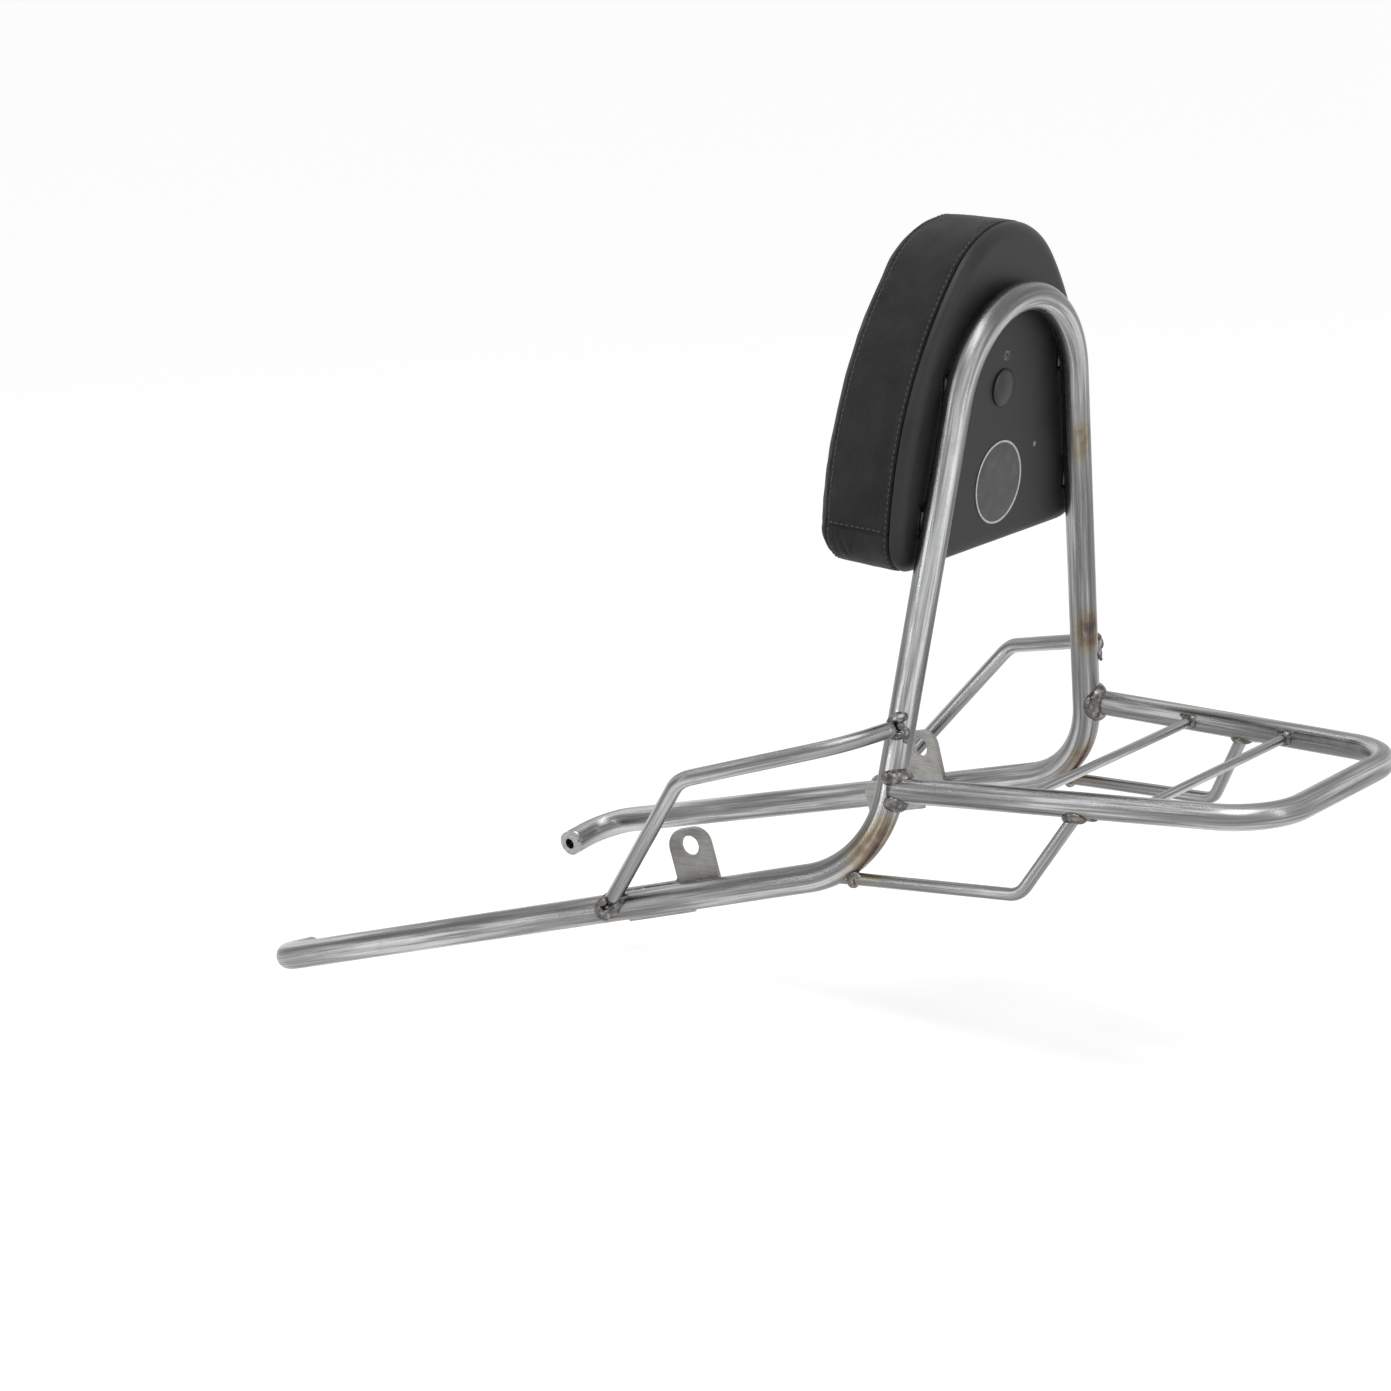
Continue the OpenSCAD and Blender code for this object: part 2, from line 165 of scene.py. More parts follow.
def rack_at(s):
    """Point on the left side of the rack, a distance behind the legs."""
    return Vector((-s, RACK_HALF - s * math.tan(RACK_TAPER), 0))


def side_point(p, sign):
    """The point on the left side for sign 1, or its mirror image for sign -1."""
    return Vector((p.x, p.y * sign, p.z))


def mirrored(p):
    return side_point(p, -1)


def circle(count):
    """Evenly spaced angles of a full turn."""
    return [2 * math.pi * k / count for k in range(count)]


def on_hoop(n, y, h):
    """Point n ahead of the hoop's plane, y to the left and h up along the plane."""
    return Vector((n * math.cos(RAKE) - h * math.sin(RAKE), y, n * math.sin(RAKE) + h * math.cos(RAKE)))


corner = leg_at(-CORNER_DROP)
rail_dir = Vector((math.cos(RAIL_FALL) * math.cos(RAIL_SPLAY),
                   math.cos(RAIL_FALL) * math.sin(RAIL_SPLAY),
                   -math.sin(RAIL_FALL)))
rail_in = rail_dir.cross(Vector((0, 0, 1))).normalized()
rail_up = rail_in.cross(rail_dir)
front = corner + rail_dir * RAIL_LEN
stub_dir = Vector((0.1, -1, -0.15)).normalized()
stub_end = front + stub_dir * STUB_LEN
apex = leg_at(LEG_HALF / math.tan(TAPER))
hoop_points = [stub_end, front, corner, apex, mirrored(corner), mirrored(front), mirrored(stub_end)]
hoop_bends = [FRONT_R, CORNER_R, ARCH_R, CORNER_R, FRONT_R]
rack_points = [rack_at(RACK_START), rack_at(RACK_REACH)]
rack_points += [mirrored(p) for p in reversed(rack_points)]
grab_points = [Vector((187.5, 159, -85.8)), Vector((104.7, 192.5, 10.9)),
               Vector((11.5, 149.6, 33.2)), Vector((-6, 121, GRAB_END))]
grab_bends = [16, 60]
strut_points = [Vector((31, 130.1, -57.9)), Vector((-91.7, 119.5, -55.6)), rack_at(STRUT_TOP)]
strut_bends = [12]
leg_dir = (leg_at(100) - leg_at(0)).normalized()
rack_dir = (rack_at(100) - rack_at(0)).normalized()
SIDES = ((1, "left"), (-1, "right"))


def rig_camera():
    yaw, pitch, roll = (math.radians(a) for a in CAMERA_TURN)
    forward = Vector((math.cos(yaw) * math.cos(pitch), -math.sin(yaw) * math.cos(pitch), -math.sin(pitch)))
    level_up = Vector((math.cos(yaw) * math.sin(pitch), -math.sin(yaw) * math.sin(pitch), math.cos(pitch)))
    level_right = forward.cross(level_up)
    right = math.cos(roll) * level_right + math.sin(roll) * level_up
    up = math.cos(roll) * level_up - math.sin(roll) * level_right
    data = bpy.data.cameras.new("camera")
    data.sensor_width = 36.0
    data.lens = CAMERA_LENS
    data.clip_start = 0.05
    data.clip_end = 50
    camera = bpy.data.objects.new("camera", data)
    bpy.context.collection.objects.link(camera)
    turn = Matrix((right, up, -forward)).transposed().to_4x4()
    camera.matrix_world = Matrix.Translation(Vector(CAMERA_PLACE)) @ turn
    bpy.context.scene.camera = camera


rig_camera()


class Nodes:
    """Short way to write a material's node tree."""

    def __init__(self, name):
        self.material = bpy.data.materials.new(name)
        self.material.use_nodes = True
        self.tree = self.material.node_tree
        self.shader = self.tree.nodes["Principled BSDF"]

    def add(self, kind, **values):
        node = self.tree.nodes.new("ShaderNode" + kind)
        for key, value in values.items():
            setattr(node, key, value)
        return node

    def link(self, a, b):
        self.tree.links.new(a, b)

    def feed(self, socket, value):
        """Sets a plain number or colour on the socket, or links another node's output to it."""
        if isinstance(value, (int, float)):
            socket.default_value = value
        elif isinstance(value, tuple):
            socket.default_value = (*value, 1)
        else:
            self.link(value, socket)

    def coords(self, scale=(1, 1, 1), attribute=None):
        """Object coordinates in metres, or a vector kept on the mesh, times scale."""
        mapping = self.add("Mapping")
        mapping.inputs["Scale"].default_value = scale
        if attribute:
            source = self.add("Attribute", attribute_name=attribute).outputs["Vector"]
        else:
            source = self.add("TexCoord").outputs["Object"]
        self.link(source, mapping.inputs["Vector"])
        return mapping.outputs["Vector"]

    def noise(self, vector, scale, detail=4.0, rough=0.55):
        node = self.add("TexNoise")
        for name, value in (("Scale", scale), ("Detail", detail), ("Roughness", rough)):
            node.inputs[name].default_value = value
        self.link(vector, node.inputs["Vector"])
        return node.outputs["Fac"]

    def cells(self, vector, scale):
        """Distance to the nearest edge between cells."""
        node = self.add("TexVoronoi", feature="DISTANCE_TO_EDGE")
        node.inputs["Scale"].default_value = scale
        self.link(vector, node.inputs["Vector"])
        return node.outputs["Distance"]

    def ramp(self, fac, stops):
        """Grey or colour read off (place, value) stops."""
        node = self.add("ValToRGB")
        elements = node.color_ramp.elements
        while len(elements) < len(stops):
            elements.new(0.5)
        for element, (at, colour) in zip(elements, stops):
            element.position = at
            grey = isinstance(colour, (int, float))
            element.color = (colour, colour, colour, 1) if grey else (*colour, 1)
        self.link(fac, node.inputs["Fac"])
        return node.outputs["Color"]

    def maths(self, operation, a, b):
        node = self.add("Math", operation=operation)
        self.feed(node.inputs[0], a)
        self.feed(node.inputs[1], b)
        return node.outputs["Value"]

    def mix(self, fac, a, b, blend="MIX"):
        node = self.add("Mix", data_type="RGBA", blend_type=blend)
        for index, value in ((0, fac), (6, a), (7, b)):
            self.feed(node.inputs[index], value)
        return node.outputs[2]

    def bump(self, height, distance, strength, normal=None):
        node = self.add("Bump")
        node.inputs["Strength"].default_value = strength
        node.inputs["Distance"].default_value = distance
        self.link(height, node.inputs["Height"])
        if normal is not None:
            self.link(normal, node.inputs["Normal"])
        return node.outputs["Normal"]

    def finish(self, colour, roughness, normal=None, metallic=0.0, specular=0.5):
        self.feed(self.shader.inputs["Base Color"], colour)
        self.feed(self.shader.inputs["Roughness"], roughness)
        self.shader.inputs["Metallic"].default_value = metallic
        self.shader.inputs["Specular IOR Level"].default_value = specular
        if normal is not None:
            self.link(normal, self.shader.inputs["Normal"])
        return self.material


def spot(n, centre, radius):
    """Mask that is 1 inside a small round place on the piece, soft at its edge."""
    away = n.add("VectorMath", operation="DISTANCE")
    n.link(n.add("TexCoord").outputs["Object"], away.inputs[0])
    away.inputs[1].default_value = centre
    return n.ramp(n.maths("DIVIDE", away.outputs["Value"], radius), ((0.75, 1.0), (1.0, 0.0)))


def drawn_steel(name, dark, light, streak):
    """Raw drawn tube or rod, polished lengthwise: long burnished bands, fine streaks, dull patches, weld tint."""
    n = Nodes(name)
    broad = n.noise(n.coords((1.7, 1.7, 7.0), "grain"), 1.0, 3.0, 0.5)
    medium = n.noise(n.coords((7, 7, 16.0), "grain"), 1.0, 3.0, 0.6)
    fine = n.noise(n.coords((32, 32, 34.0), "grain"), 1.0, 4.0, 0.65)
    hair = n.noise(n.coords((130, 130, 60.0), "grain"), 1.0, 2.0, 0.6)
    patch = n.noise(n.coords(), 70, 5.0, 0.65)
    bands = n.mix(0.30, n.ramp(broad, ((0.3, 0.0), (0.7, 1.0))), n.ramp(medium, ((0.32, 0.0), (0.68, 1.0))))
    mid = tuple(0.62 * d + 0.38 * l for d, l in zip(dark, light))
    dim = tuple(0.55 * d + 0.45 * m for d, m in zip(dark, mid))
    bright = tuple(1.3 * l for l in light)
    base = n.ramp(bands, ((0.22, dark), (0.36, dim), (0.52, mid), (0.70, light), (0.88, bright)))
    streaked = n.mix(streak, base, n.ramp(fine, ((0.34, 0.12), (0.5, 0.5), (0.66, 0.9))), "OVERLAY")
    dull = n.mix(n.ramp(patch, ((0.55, 0.0), (0.78, 0.35))), streaked, tuple(0.8 * m for m in mid))
    heat = n.add("Attribute", attribute_name="tint").outputs["Fac"]
    uneven = n.maths("MULTIPLY", heat, n.ramp(n.noise(n.coords(), 170, 3.0), ((0.25, 0.45), (0.7, 1.3))))
    straw, tan, brown, slate = (1.0, 0.97, 0.88), (0.92, 0.80, 0.58), (0.66, 0.46, 0.32), (0.36, 0.29, 0.28)
    tint = n.ramp(uneven, ((0.05, straw), (0.3, tan), (0.6, brown), (0.95, slate)))
    colour = n.mix(n.ramp(uneven, ((0.04, 0.0), (0.30, 0.9))), dull, tint, "MULTIPLY")
    rough = n.ramp(n.mix(0.5, medium, patch), ((0.3, 0.20), (0.7, 0.38)))
    return n.finish(colour, rough, n.bump(hair, 0.00005, 0.5, n.bump(fine, 0.00008, 0.35)), metallic=1.0)


def plate_steel():
    """Sheared flat bar: satin, brushed in one direction, a little yellower than the tube."""
    n = Nodes("plate_steel")
    grain = n.noise(n.coords((70, 70, 1100)), 1.0, 4.0, 0.6)
    patch = n.noise(n.coords(), 55, 5.0, 0.65)
    base = n.ramp(patch, ((0.3, (0.215, 0.21, 0.20)), (0.7, (0.36, 0.355, 0.34))))
    colour = n.mix(0.35, base, n.ramp(grain, ((0.35, 0.25), (0.65, 0.75))), "OVERLAY")
    rough = n.ramp(grain, ((0.3, 0.36), (0.7, 0.52)))
    return n.finish(colour, rough, n.bump(grain, 0.00006, 0.5), metallic=1.0)


def weld_metal():
    """Weld beads: dark and pale lumps, stained a little brown in patches."""
    n = Nodes("weld_metal")
    lumps = n.noise(n.coords(), 280, 2.0, 0.5)
    stain = n.noise(n.coords(), 150, 4.0, 0.6)
    base = n.ramp(lumps, ((0.30, (0.06, 0.057, 0.055)), (0.55, (0.15, 0.146, 0.142)), (0.76, (0.36, 0.355, 0.35))))
    colour = n.mix(n.ramp(stain, ((0.48, 0.0), (0.72, 0.65))), base, (0.13, 0.105, 0.085))
    rough = n.ramp(stain, ((0.3, 0.22), (0.7, 0.42)))
    return n.finish(colour, rough, n.bump(lumps, 0.0001, 0.4), metallic=1.0)


def dark_steel():
    """Dark plated fittings with a little wear."""
    n = Nodes("dark_steel")
    patch = n.noise(n.coords(), 300, 4.0, 0.6)
    colour = n.ramp(patch, ((0.35, (0.05, 0.05, 0.052)), (0.75, (0.13, 0.13, 0.13))))
    return n.finish(colour, n.ramp(patch, ((0.3, 0.32), (0.7, 0.5))), n.bump(patch, 0.00005, 0.4), metallic=0.9)


def turned_steel():
    """Turned bush: fine rings from the tool."""
    n = Nodes("turned_steel")
    rings = n.noise(n.coords((400, 2500, 400)), 1.0, 2.0)
    colour = n.ramp(rings, ((0.35, (0.28, 0.28, 0.285)), (0.7, (0.44, 0.44, 0.44))))
    return n.finish(colour, n.ramp(rings, ((0.3, 0.22), (0.7, 0.36))), n.bump(rings, 0.00004, 0.5), metallic=1.0)


def cover_leather():
    """Black grained leatherette of the cushion: fine pebbles, faint creases, worn sheen."""
    n = Nodes("cover_leather")
    warp = n.noise(n.coords(), 160, 2.0)
    pores = n.cells(n.mix(0.10, n.coords((1, 1, 0.6)), warp), 900)
    creases = n.cells(n.mix(0.06, n.coords((1, 1, 0.4)), warp), 230)
    mottle = n.noise(n.coords(), 48, 4.0, 0.6)
    colour = n.ramp(mottle, ((0.3, (0.0105, 0.0105, 0.0115)), (0.7, (0.0185, 0.0185, 0.020))))
    rough = n.ramp(n.mix(0.35, mottle, pores), ((0.15, 0.60), (0.55, 0.43)))
    small = n.bump(n.ramp(pores, ((0.0, 0.0), (0.14, 1.0))), 0.00018, 0.6)
    normal = n.bump(n.ramp(creases, ((0.0, 0.0), (0.06, 1.0))), 0.00025, 0.35, small)
    return n.finish(colour, rough, normal, specular=0.2)


def smooth_cover():
    """Smooth black cover of the board, a little greyer than the leatherette, with two small painted highlights: pale
    spots that stand in for glints.
    """
    n = Nodes("smooth_cover")
    fine = n.noise(n.coords(), 1300, 3.0)
    mottle = n.noise(n.coords(), 34, 5.0, 0.6)
    colour = n.ramp(mottle, ((0.3, (0.0165, 0.0165, 0.0175)), (0.7, (0.0265, 0.0265, 0.028))))
    # Painted highlights: two small pale grey spots put where glints show on the back, the upper one broken up by
    # noise
    glint_spots = n.maths("MAXIMUM", spot(n, tuple(on_hoop(BOARD_N, -43.2, 185.6) * MM), 0.0019),
                     n.maths("MULTIPLY", spot(n, tuple(on_hoop(BOARD_N, -2.5, 248.5) * MM), 0.0042),
                             n.ramp(n.noise(n.coords(), 700, 2.0), ((0.5, 0.0), (0.6, 1.0)))))
    colour = n.mix(n.maths("MULTIPLY", glint_spots, 0.75), colour, (0.30, 0.30, 0.31))
    rough = n.ramp(mottle, ((0.3, 0.40), (0.7, 0.50)))
    return n.finish(colour, rough, n.bump(fine, 0.00007, 0.5), specular=0.26)


def black_plastic():
    """Moulded plastic of the plug."""
    n = Nodes("black_plastic")
    fine = n.noise(n.coords(), 900, 3.0)
    colour = n.ramp(fine, ((0.3, (0.010, 0.010, 0.011)), (0.7, (0.017, 0.017, 0.018))))
    return n.finish(colour, n.ramp(fine, ((0.3, 0.34), (0.7, 0.44))), n.bump(fine, 0.00005, 0.5), specular=0.5)


def thread_black():
    """Dark sewing thread."""
    n = Nodes("thread_black")
    twist = n.noise(n.coords(), 3000, 2.0)
    colour = n.ramp(twist, ((0.3, (0.024, 0.024, 0.025)), (0.7, (0.065, 0.065, 0.067))))
    return n.finish(colour, 0.55, n.bump(twist, 0.0001, 0.6))


def badge_rim():
    """Raised rim of the badge: pale satin metal."""
    n = Nodes("badge_rim")
    fine = n.noise(n.coords(), 600, 3.0)
    colour = n.ramp(fine, ((0.3, (0.36, 0.36, 0.365)), (0.7, (0.52, 0.52, 0.525))))
    return n.finish(colour, n.ramp(fine, ((0.3, 0.32), (0.7, 0.46))), metallic=0.7)


def badge_face():
    """Face of the badge: dark satin with faint cloudy wear, left bare."""
    n = Nodes("badge_face")
    cloud = n.noise(n.coords(), 120, 4.0, 0.6)
    fine = n.noise(n.coords(), 1400, 2.0)
    colour = n.ramp(cloud, ((0.35, (0.018, 0.018, 0.019)), (0.62, (0.045, 0.045, 0.047)), (0.8, (0.10, 0.10, 0.102))))
    return n.finish(colour, n.ramp(cloud, ((0.3, 0.30), (0.7, 0.42))), n.bump(fine, 0.00004, 0.4), specular=0.5)


TUBE = drawn_steel("tube_steel", (0.13, 0.13, 0.133), (0.43, 0.433, 0.438), 0.22)
ROD = drawn_steel("rod_steel", (0.15, 0.15, 0.153), (0.38, 0.383, 0.387), 0.18)
PLATE = plate_steel()
WELD = weld_metal()
DARK = dark_steel()
TURNED = turned_steel()
LEATHER = cover_leather()
SMOOTH = smooth_cover()
PLASTIC = black_plastic()
THREAD = thread_black()
RIM = badge_rim()
FACE = badge_face()

# Places where welding has tinted the steel: centre, reach and strength. Beyond HEAT_FAR reaches nothing is left
heat_spots = []
HEAT_FAR = 2.5


def heat_at(p):
    total = 0.0
    for centre, reach, strength in heat_spots:
        d = (p - centre).length / reach
        if d < HEAT_FAR:
            wobble = 1 + 0.35 * noise.noise(p * 0.09)
            total += strength * math.exp(-d * d) * wobble
    return min(total, 1.0)


def add_heat(centre, reach, strength, both=True):
    heat_spots.append((centre, reach, strength))
    if both:
        heat_spots.append((mirrored(centre), reach, strength))


def between(x, stops):
    """Straight-line value at x through (x, value) stops."""
    if x <= stops[0][0]:
        return stops[0][1]
    for (a, u), (b, v) in zip(stops, stops[1:]):
        if x <= b:
            return u + (v - u) * (x - a) / (b - a)
    return stops[-1][1]


def keep(name, mesh_data, material, nodes=(), smooth=True):
    """Links a mesh as a piece that rides on the frame and stands for the CAD nodes named."""
    piece = bpy.data.objects.new(name, mesh_data)
    bpy.context.collection.objects.link(piece)
    mesh_data.materials.append(material)
    if smooth:
        mesh_data.polygons.foreach_set("use_smooth", [True] * len(mesh_data.polygons))
    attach(piece, "root")
    if nodes:
        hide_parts(*nodes)
    return piece


def from_bmesh(bm, name):
    """Mesh in metres from a bmesh in millimetres."""
    bmesh.ops.recalc_face_normals(bm, faces=bm.faces)
    for v in bm.verts:
        v.co *= MM
    mesh_data = bpy.data.meshes.new(name)
    bm.to_mesh(mesh_data)
    bm.free()
    return mesh_data


def bridge(bm, rings):
    """Quads from each ring of points to the next."""
    for a, b in zip(rings, rings[1:]):
        for k in range(len(a)):
            m = (k + 1) % len(a)
            bm.faces.new((a[k], a[m], b[m], b[k]))


def settled(piece):
    """The piece with its modifiers applied."""
    graph = bpy.context.evaluated_depsgraph_get()
    solid = bpy.data.meshes.new_from_object(piece.evaluated_get(graph))
    piece.modifiers.clear()
    old = piece.data
    piece.data = solid
    bpy.data.meshes.remove(old)
    solid.polygons.foreach_set("use_smooth", [True] * len(solid.polygons))
    return piece


def subdivided(piece):
    finer = piece.modifiers.new("finer", "SUBSURF")
    finer.levels = finer.render_levels = 1
    return settled(piece)


def route(points, bends, step):
    """Points and directions along straights joined by arcs of the bends' radii, at most step apart."""
    here = [(points[0].copy(), (points[1] - points[0]).normalized())]

    def straight_to(p):
        a, d = here[-1]
        count = max(1, math.ceil((p - a).length / step))
        for i in range(1, count + 1):
            here.append((a.lerp(p, i / count), d))

    for i, bend in enumerate(bends, 1):
        v = points[i]
        u = (points[i - 1] - v).normalized()
        w = (points[i + 1] - v).normalized()
        turn = math.pi - u.angle(w)
        start = v + u * (bend * math.tan(turn / 2))
        straight_to(start)
        centre = v + (u + w).normalized() * (bend / math.cos(turn / 2))
        e = (start - centre).normalized()
        count = max(6, math.ceil(turn * bend / min(step, 3.0)))
        for k in range(1, count + 1):
            t = turn * k / count
            p = centre + (e * math.cos(t) - u * math.sin(t)) * bend
            here.append((p, -u * math.cos(t) - e * math.sin(t)))
    straight_to(points[-1])
    return here


def cylinder_gap(p, d, axis_point, axis_dir, radius):
    """How far along d from p a line first meets a cylinder, or None."""
    rel = p - axis_point
    m = d - axis_dir * d.dot(axis_dir)
    q = rel - axis_dir * rel.dot(axis_dir)
    a = m.dot(m)
    b = 2 * q.dot(m)
    c = q.dot(q) - radius * radius
    root = b * b - 4 * a * c
    if a < 1e-9 or root < 0:
        return None
    return (-b - math.sqrt(root)) / (2 * a)


def swept(path, radius, sides, copes=(None, None), bore=0.0):
    """Round bar along a path, with grain and weld tint kept on its points. A cope cuts an end to a tube."""
    bm = bmesh.new()
    grain = []
    rings = []
    frames = []
    side = path[0][1].orthogonal().normalized()
    run = 0.0
    for i, (p, d) in enumerate(path):
        side = (side - d * side.dot(d)).normalized()
        other = d.cross(side)
        if i:
            run += (p - path[i - 1][0]).length
        ring = []
        for t in circle(sides):
            out = side * math.cos(t) + other * math.sin(t)
            ring.append(bm.verts.new(p + out * radius))
            grain.append((math.cos(t), math.sin(t), run * MM))
        rings.append(ring)
        frames.append((p, d, side, other))
    for index, cope in zip((0, -1), copes):
        if cope is None:
            continue
        ahead = path[index][1] if index else -path[index][1]
        for v in rings[index]:
            start = v.co - ahead * COPE_FROM
            gap = cylinder_gap(start, ahead, *cope)
            if gap is not None and gap < COPE_FROM + radius:
                v.co = start + ahead * gap
    bridge(bm, rings)
    for index in (0, -1):
        ring = rings[index]
        p, d, side, other = frames[index]
        way = 1 if index else -1
        if not bore:
            bm.faces.new(ring[::way])
            continue
        rim = [bm.verts.new(p + (side * math.cos(t) + other * math.sin(t)) * bore) for t in circle(sides)]
        deep = [bm.verts.new(v.co - d * (BORE_DEEP * way)) for v in rim]
        grain += [(0, 0, 0)] * (2 * sides)
        for k in range(sides):
            m = (k + 1) % sides
            for quad in ((ring[k], ring[m], rim[m], rim[k]), (rim[k], rim[m], deep[m], deep[k])):
                bm.faces.new(quad[::way])
        bm.faces.new(deep[::way])
    heat = [heat_at(v.co) for v in bm.verts]
    mesh_data = from_bmesh(bm, "swept")
    along = mesh_data.attributes.new("grain", "FLOAT_VECTOR", "POINT")
    along.data.foreach_set("vector", [c for g in grain for c in g])
    mesh_data.attributes.new("tint", "FLOAT", "POINT").data.foreach_set("value", heat)
    return mesh_data


def note_heat():
    """Tint beside each weld, as the photograph shows it."""
    add_heat(leg_at(-36) + Vector((1, 7, -3)), 15, 0.75)
    add_heat(leg_at(-22) + Vector((-6, 6, 0)), 9, 0.35)
    add_heat(rack_at(10), 7, 0.45)
    add_heat(Vector((187, 152, -98)), 9, 0.35)
    add_heat(Vector((21, 128, -54)), 9, 0.45)
    add_heat(rack_at(STRUT_TOP) + Vector((0, 0, -6)), 8, 0.5)
    for s in (FRONT_BAR, REAR_BAR):
        add_heat(rack_at(s) - Vector((0, 6, 0)), 7, 0.4)
    add_heat(corner + rail_dir * 196 - rail_up * 8, 5, 0.95)
    for z, reach, strength in ((58, 9, 0.8), (46, 10, 0.55), (188, 9, 0.42), (174, 12, 0.25)):
        add_heat(mirrored(leg_at(z)) + Vector((-8, 5, 0)), reach, strength, False)
    add_heat(mirrored(leg_at(-40)) + Vector((-8, 2, 0)), 10, 0.7, False)


note_heat()


def cut_to(point, direction, radius, sign):
    """Tube that an end is coped to: axis point, direction and radius, a little inside its skin."""
    return side_point(point, sign), side_point(direction, sign), radius - COPE_IN


def build_tubes():
    hoop = swept(route(hoop_points, hoop_bends, 4), TUBE_R, 56, bore=TUBE_R - TUBE_WALL)
    keep("main_hoop_tube", hoop, TUBE, ["main_hoop"])
    legs = [cut_to(leg_at(0), leg_dir, TUBE_R, sign) for sign, _ in SIDES]
    rack = swept(route(rack_points, [RACK_CORNER_R] * 2, 4), RACK_R, 48, legs)
    keep("rack_tube", rack, TUBE, ["rack_loop"])
    for s, name in ((FRONT_BAR, "front"), (REAR_BAR, "rear")):
        inner = rack_at(s) - Vector((0, RACK_R, 0))
        sides = [cut_to(rack_at(s), rack_dir, RACK_R, sign) for sign, _ in SIDES]
        bar = swept(route([inner, mirrored(inner)], [], 6), BAR_R, 24, sides)
        keep(name + "_crossbar_rod", bar, ROD, [name + "_crossbar"])
    for sign, name in SIDES:
        ends = (cut_to(corner, rail_dir, TUBE_R, sign), cut_to(leg_at(GRAB_END), leg_dir, TUBE_R, sign))
        grab = swept(route([side_point(p, sign) for p in grab_points], grab_bends, 5), GRAB_R, 32, ends)
        keep(name + "_grab_rod", grab, ROD, [name + "_grab_rail"])
        ends = (None, cut_to(rack_at(STRUT_TOP), rack_dir, RACK_R, sign))
        strut = swept(route([side_point(p, sign) for p in strut_points], strut_bends, 5), STRUT_R, 28, ends)
        keep(name + "_strut_rod", strut, ROD, [name + "_strut"])


build_tubes()


def meeting(a, b, r, axis_point, axis_dir, reach):
    """Points where a bar that ends at a, coming from b, meets a tube, each with both surfaces' normals."""
    d = (a - b).normalized()
    u = d.orthogonal().normalized()
    v = d.cross(u)
    found = []
    for t in circle(120):
        out = u * math.cos(t) + v * math.sin(t)
        start = a + out * r - d * MEET_FROM
        gap = cylinder_gap(start, d, axis_point, axis_dir, reach)
        if gap is None:
            continue
        p = start + d * gap
        rel = p - axis_point
        found.append((p, out, (rel - axis_dir * rel.dot(axis_dir)).normalized()))
    return found


def add_blob(bm, centre, along, up, sizes):
    """Squashed ball: sizes along the bead, across it and up from the metal."""
    across = along.cross(up).normalized()
    turn = Matrix((along, across, up)).transposed().to_4x4()
    scale = Matrix.Diagonal((*sizes, 1))
    bmesh.ops.create_icosphere(bm, subdivisions=2, radius=1, matrix=Matrix.Translation(centre) @ turn @ scale)


def ring_bead(bm, spec, size, seed, lift=0.25, pitch=BEAD_PITCH):
    """Weld all round a joint: a chain of overlapping ripples of uneven size."""
    ring = meeting(*spec)
    length = sum((ring[i][0] - ring[i - 1][0]).length for i in range(len(ring)))
    count = max(10, round(length / pitch))
    for k in range(count):
        i = round(k * len(ring) / count) % len(ring)
        p, n1, n2 = ring[i]
        along = (ring[(i + 1) % len(ring)][0] - ring[i - 1][0]).normalized()
        up = (n1 + n2).normalized()
        wave = noise.noise(Vector((seed * 7.3, p.x * 0.11 + p.y * 0.07, p.z * 0.13)))
        bump = 1 + 0.30 * wave + 0.04 * math.sin(k * 2.4 + seed)
        sizes = (pitch * 1.7, size * 1.25 * bump, size * 0.80 * bump)
        add_blob(bm, p + up * (lift * size * bump), along, up, sizes)


def side_blob(bm, sign, centre, along, up, sizes):
    """Squashed ball given for the left side, put on the side asked for."""
    add_blob(bm, side_point(centre, sign), side_point(along, sign), side_point(up, sign), sizes)


def line_bead(bm, sign, a, b, up, size, seed):
    """Weld along a straight groove, thinner at its ends, given for the left side."""
    along = (b - a).normalized()
    count = max(3, round((b - a).length / BEAD_PITCH))
    for k in range(count + 1):
        f = k / count
        wave = noise.noise(Vector((seed + sign, k * 0.8, 0)))
        bump = 1 + 0.25 * wave - 0.25 * max(0, abs(2 * f - 1) - 0.7)
        side_blob(bm, sign, a.lerp(b, f), along, up, (BEAD_PITCH * 1.2, size * bump, size * 0.9 * bump))


def joint(sign, a, b, radius, tube):
    """What meeting needs of a bar that ends at a, coming from b, on a tube, all on one side."""
    point, direction, reach = tube
    return (side_point(a, sign), side_point(b, sign), radius,
            side_point(point, sign), side_point(direction, sign), reach)


def finish_bead(bm, name, node):
    """Fuses the ripples into one skin and softens it."""
    piece = keep(name, from_bmesh(bm, name), WELD, [node])
    fuse = piece.modifiers.new("fuse", "REMESH")
    fuse.mode = "VOXEL"
    fuse.voxel_size = BEAD_VOXEL
    soften = piece.modifiers.new("soften", "SMOOTH")
    soften.factor = 0.5
    soften.iterations = 7
    settled(piece)


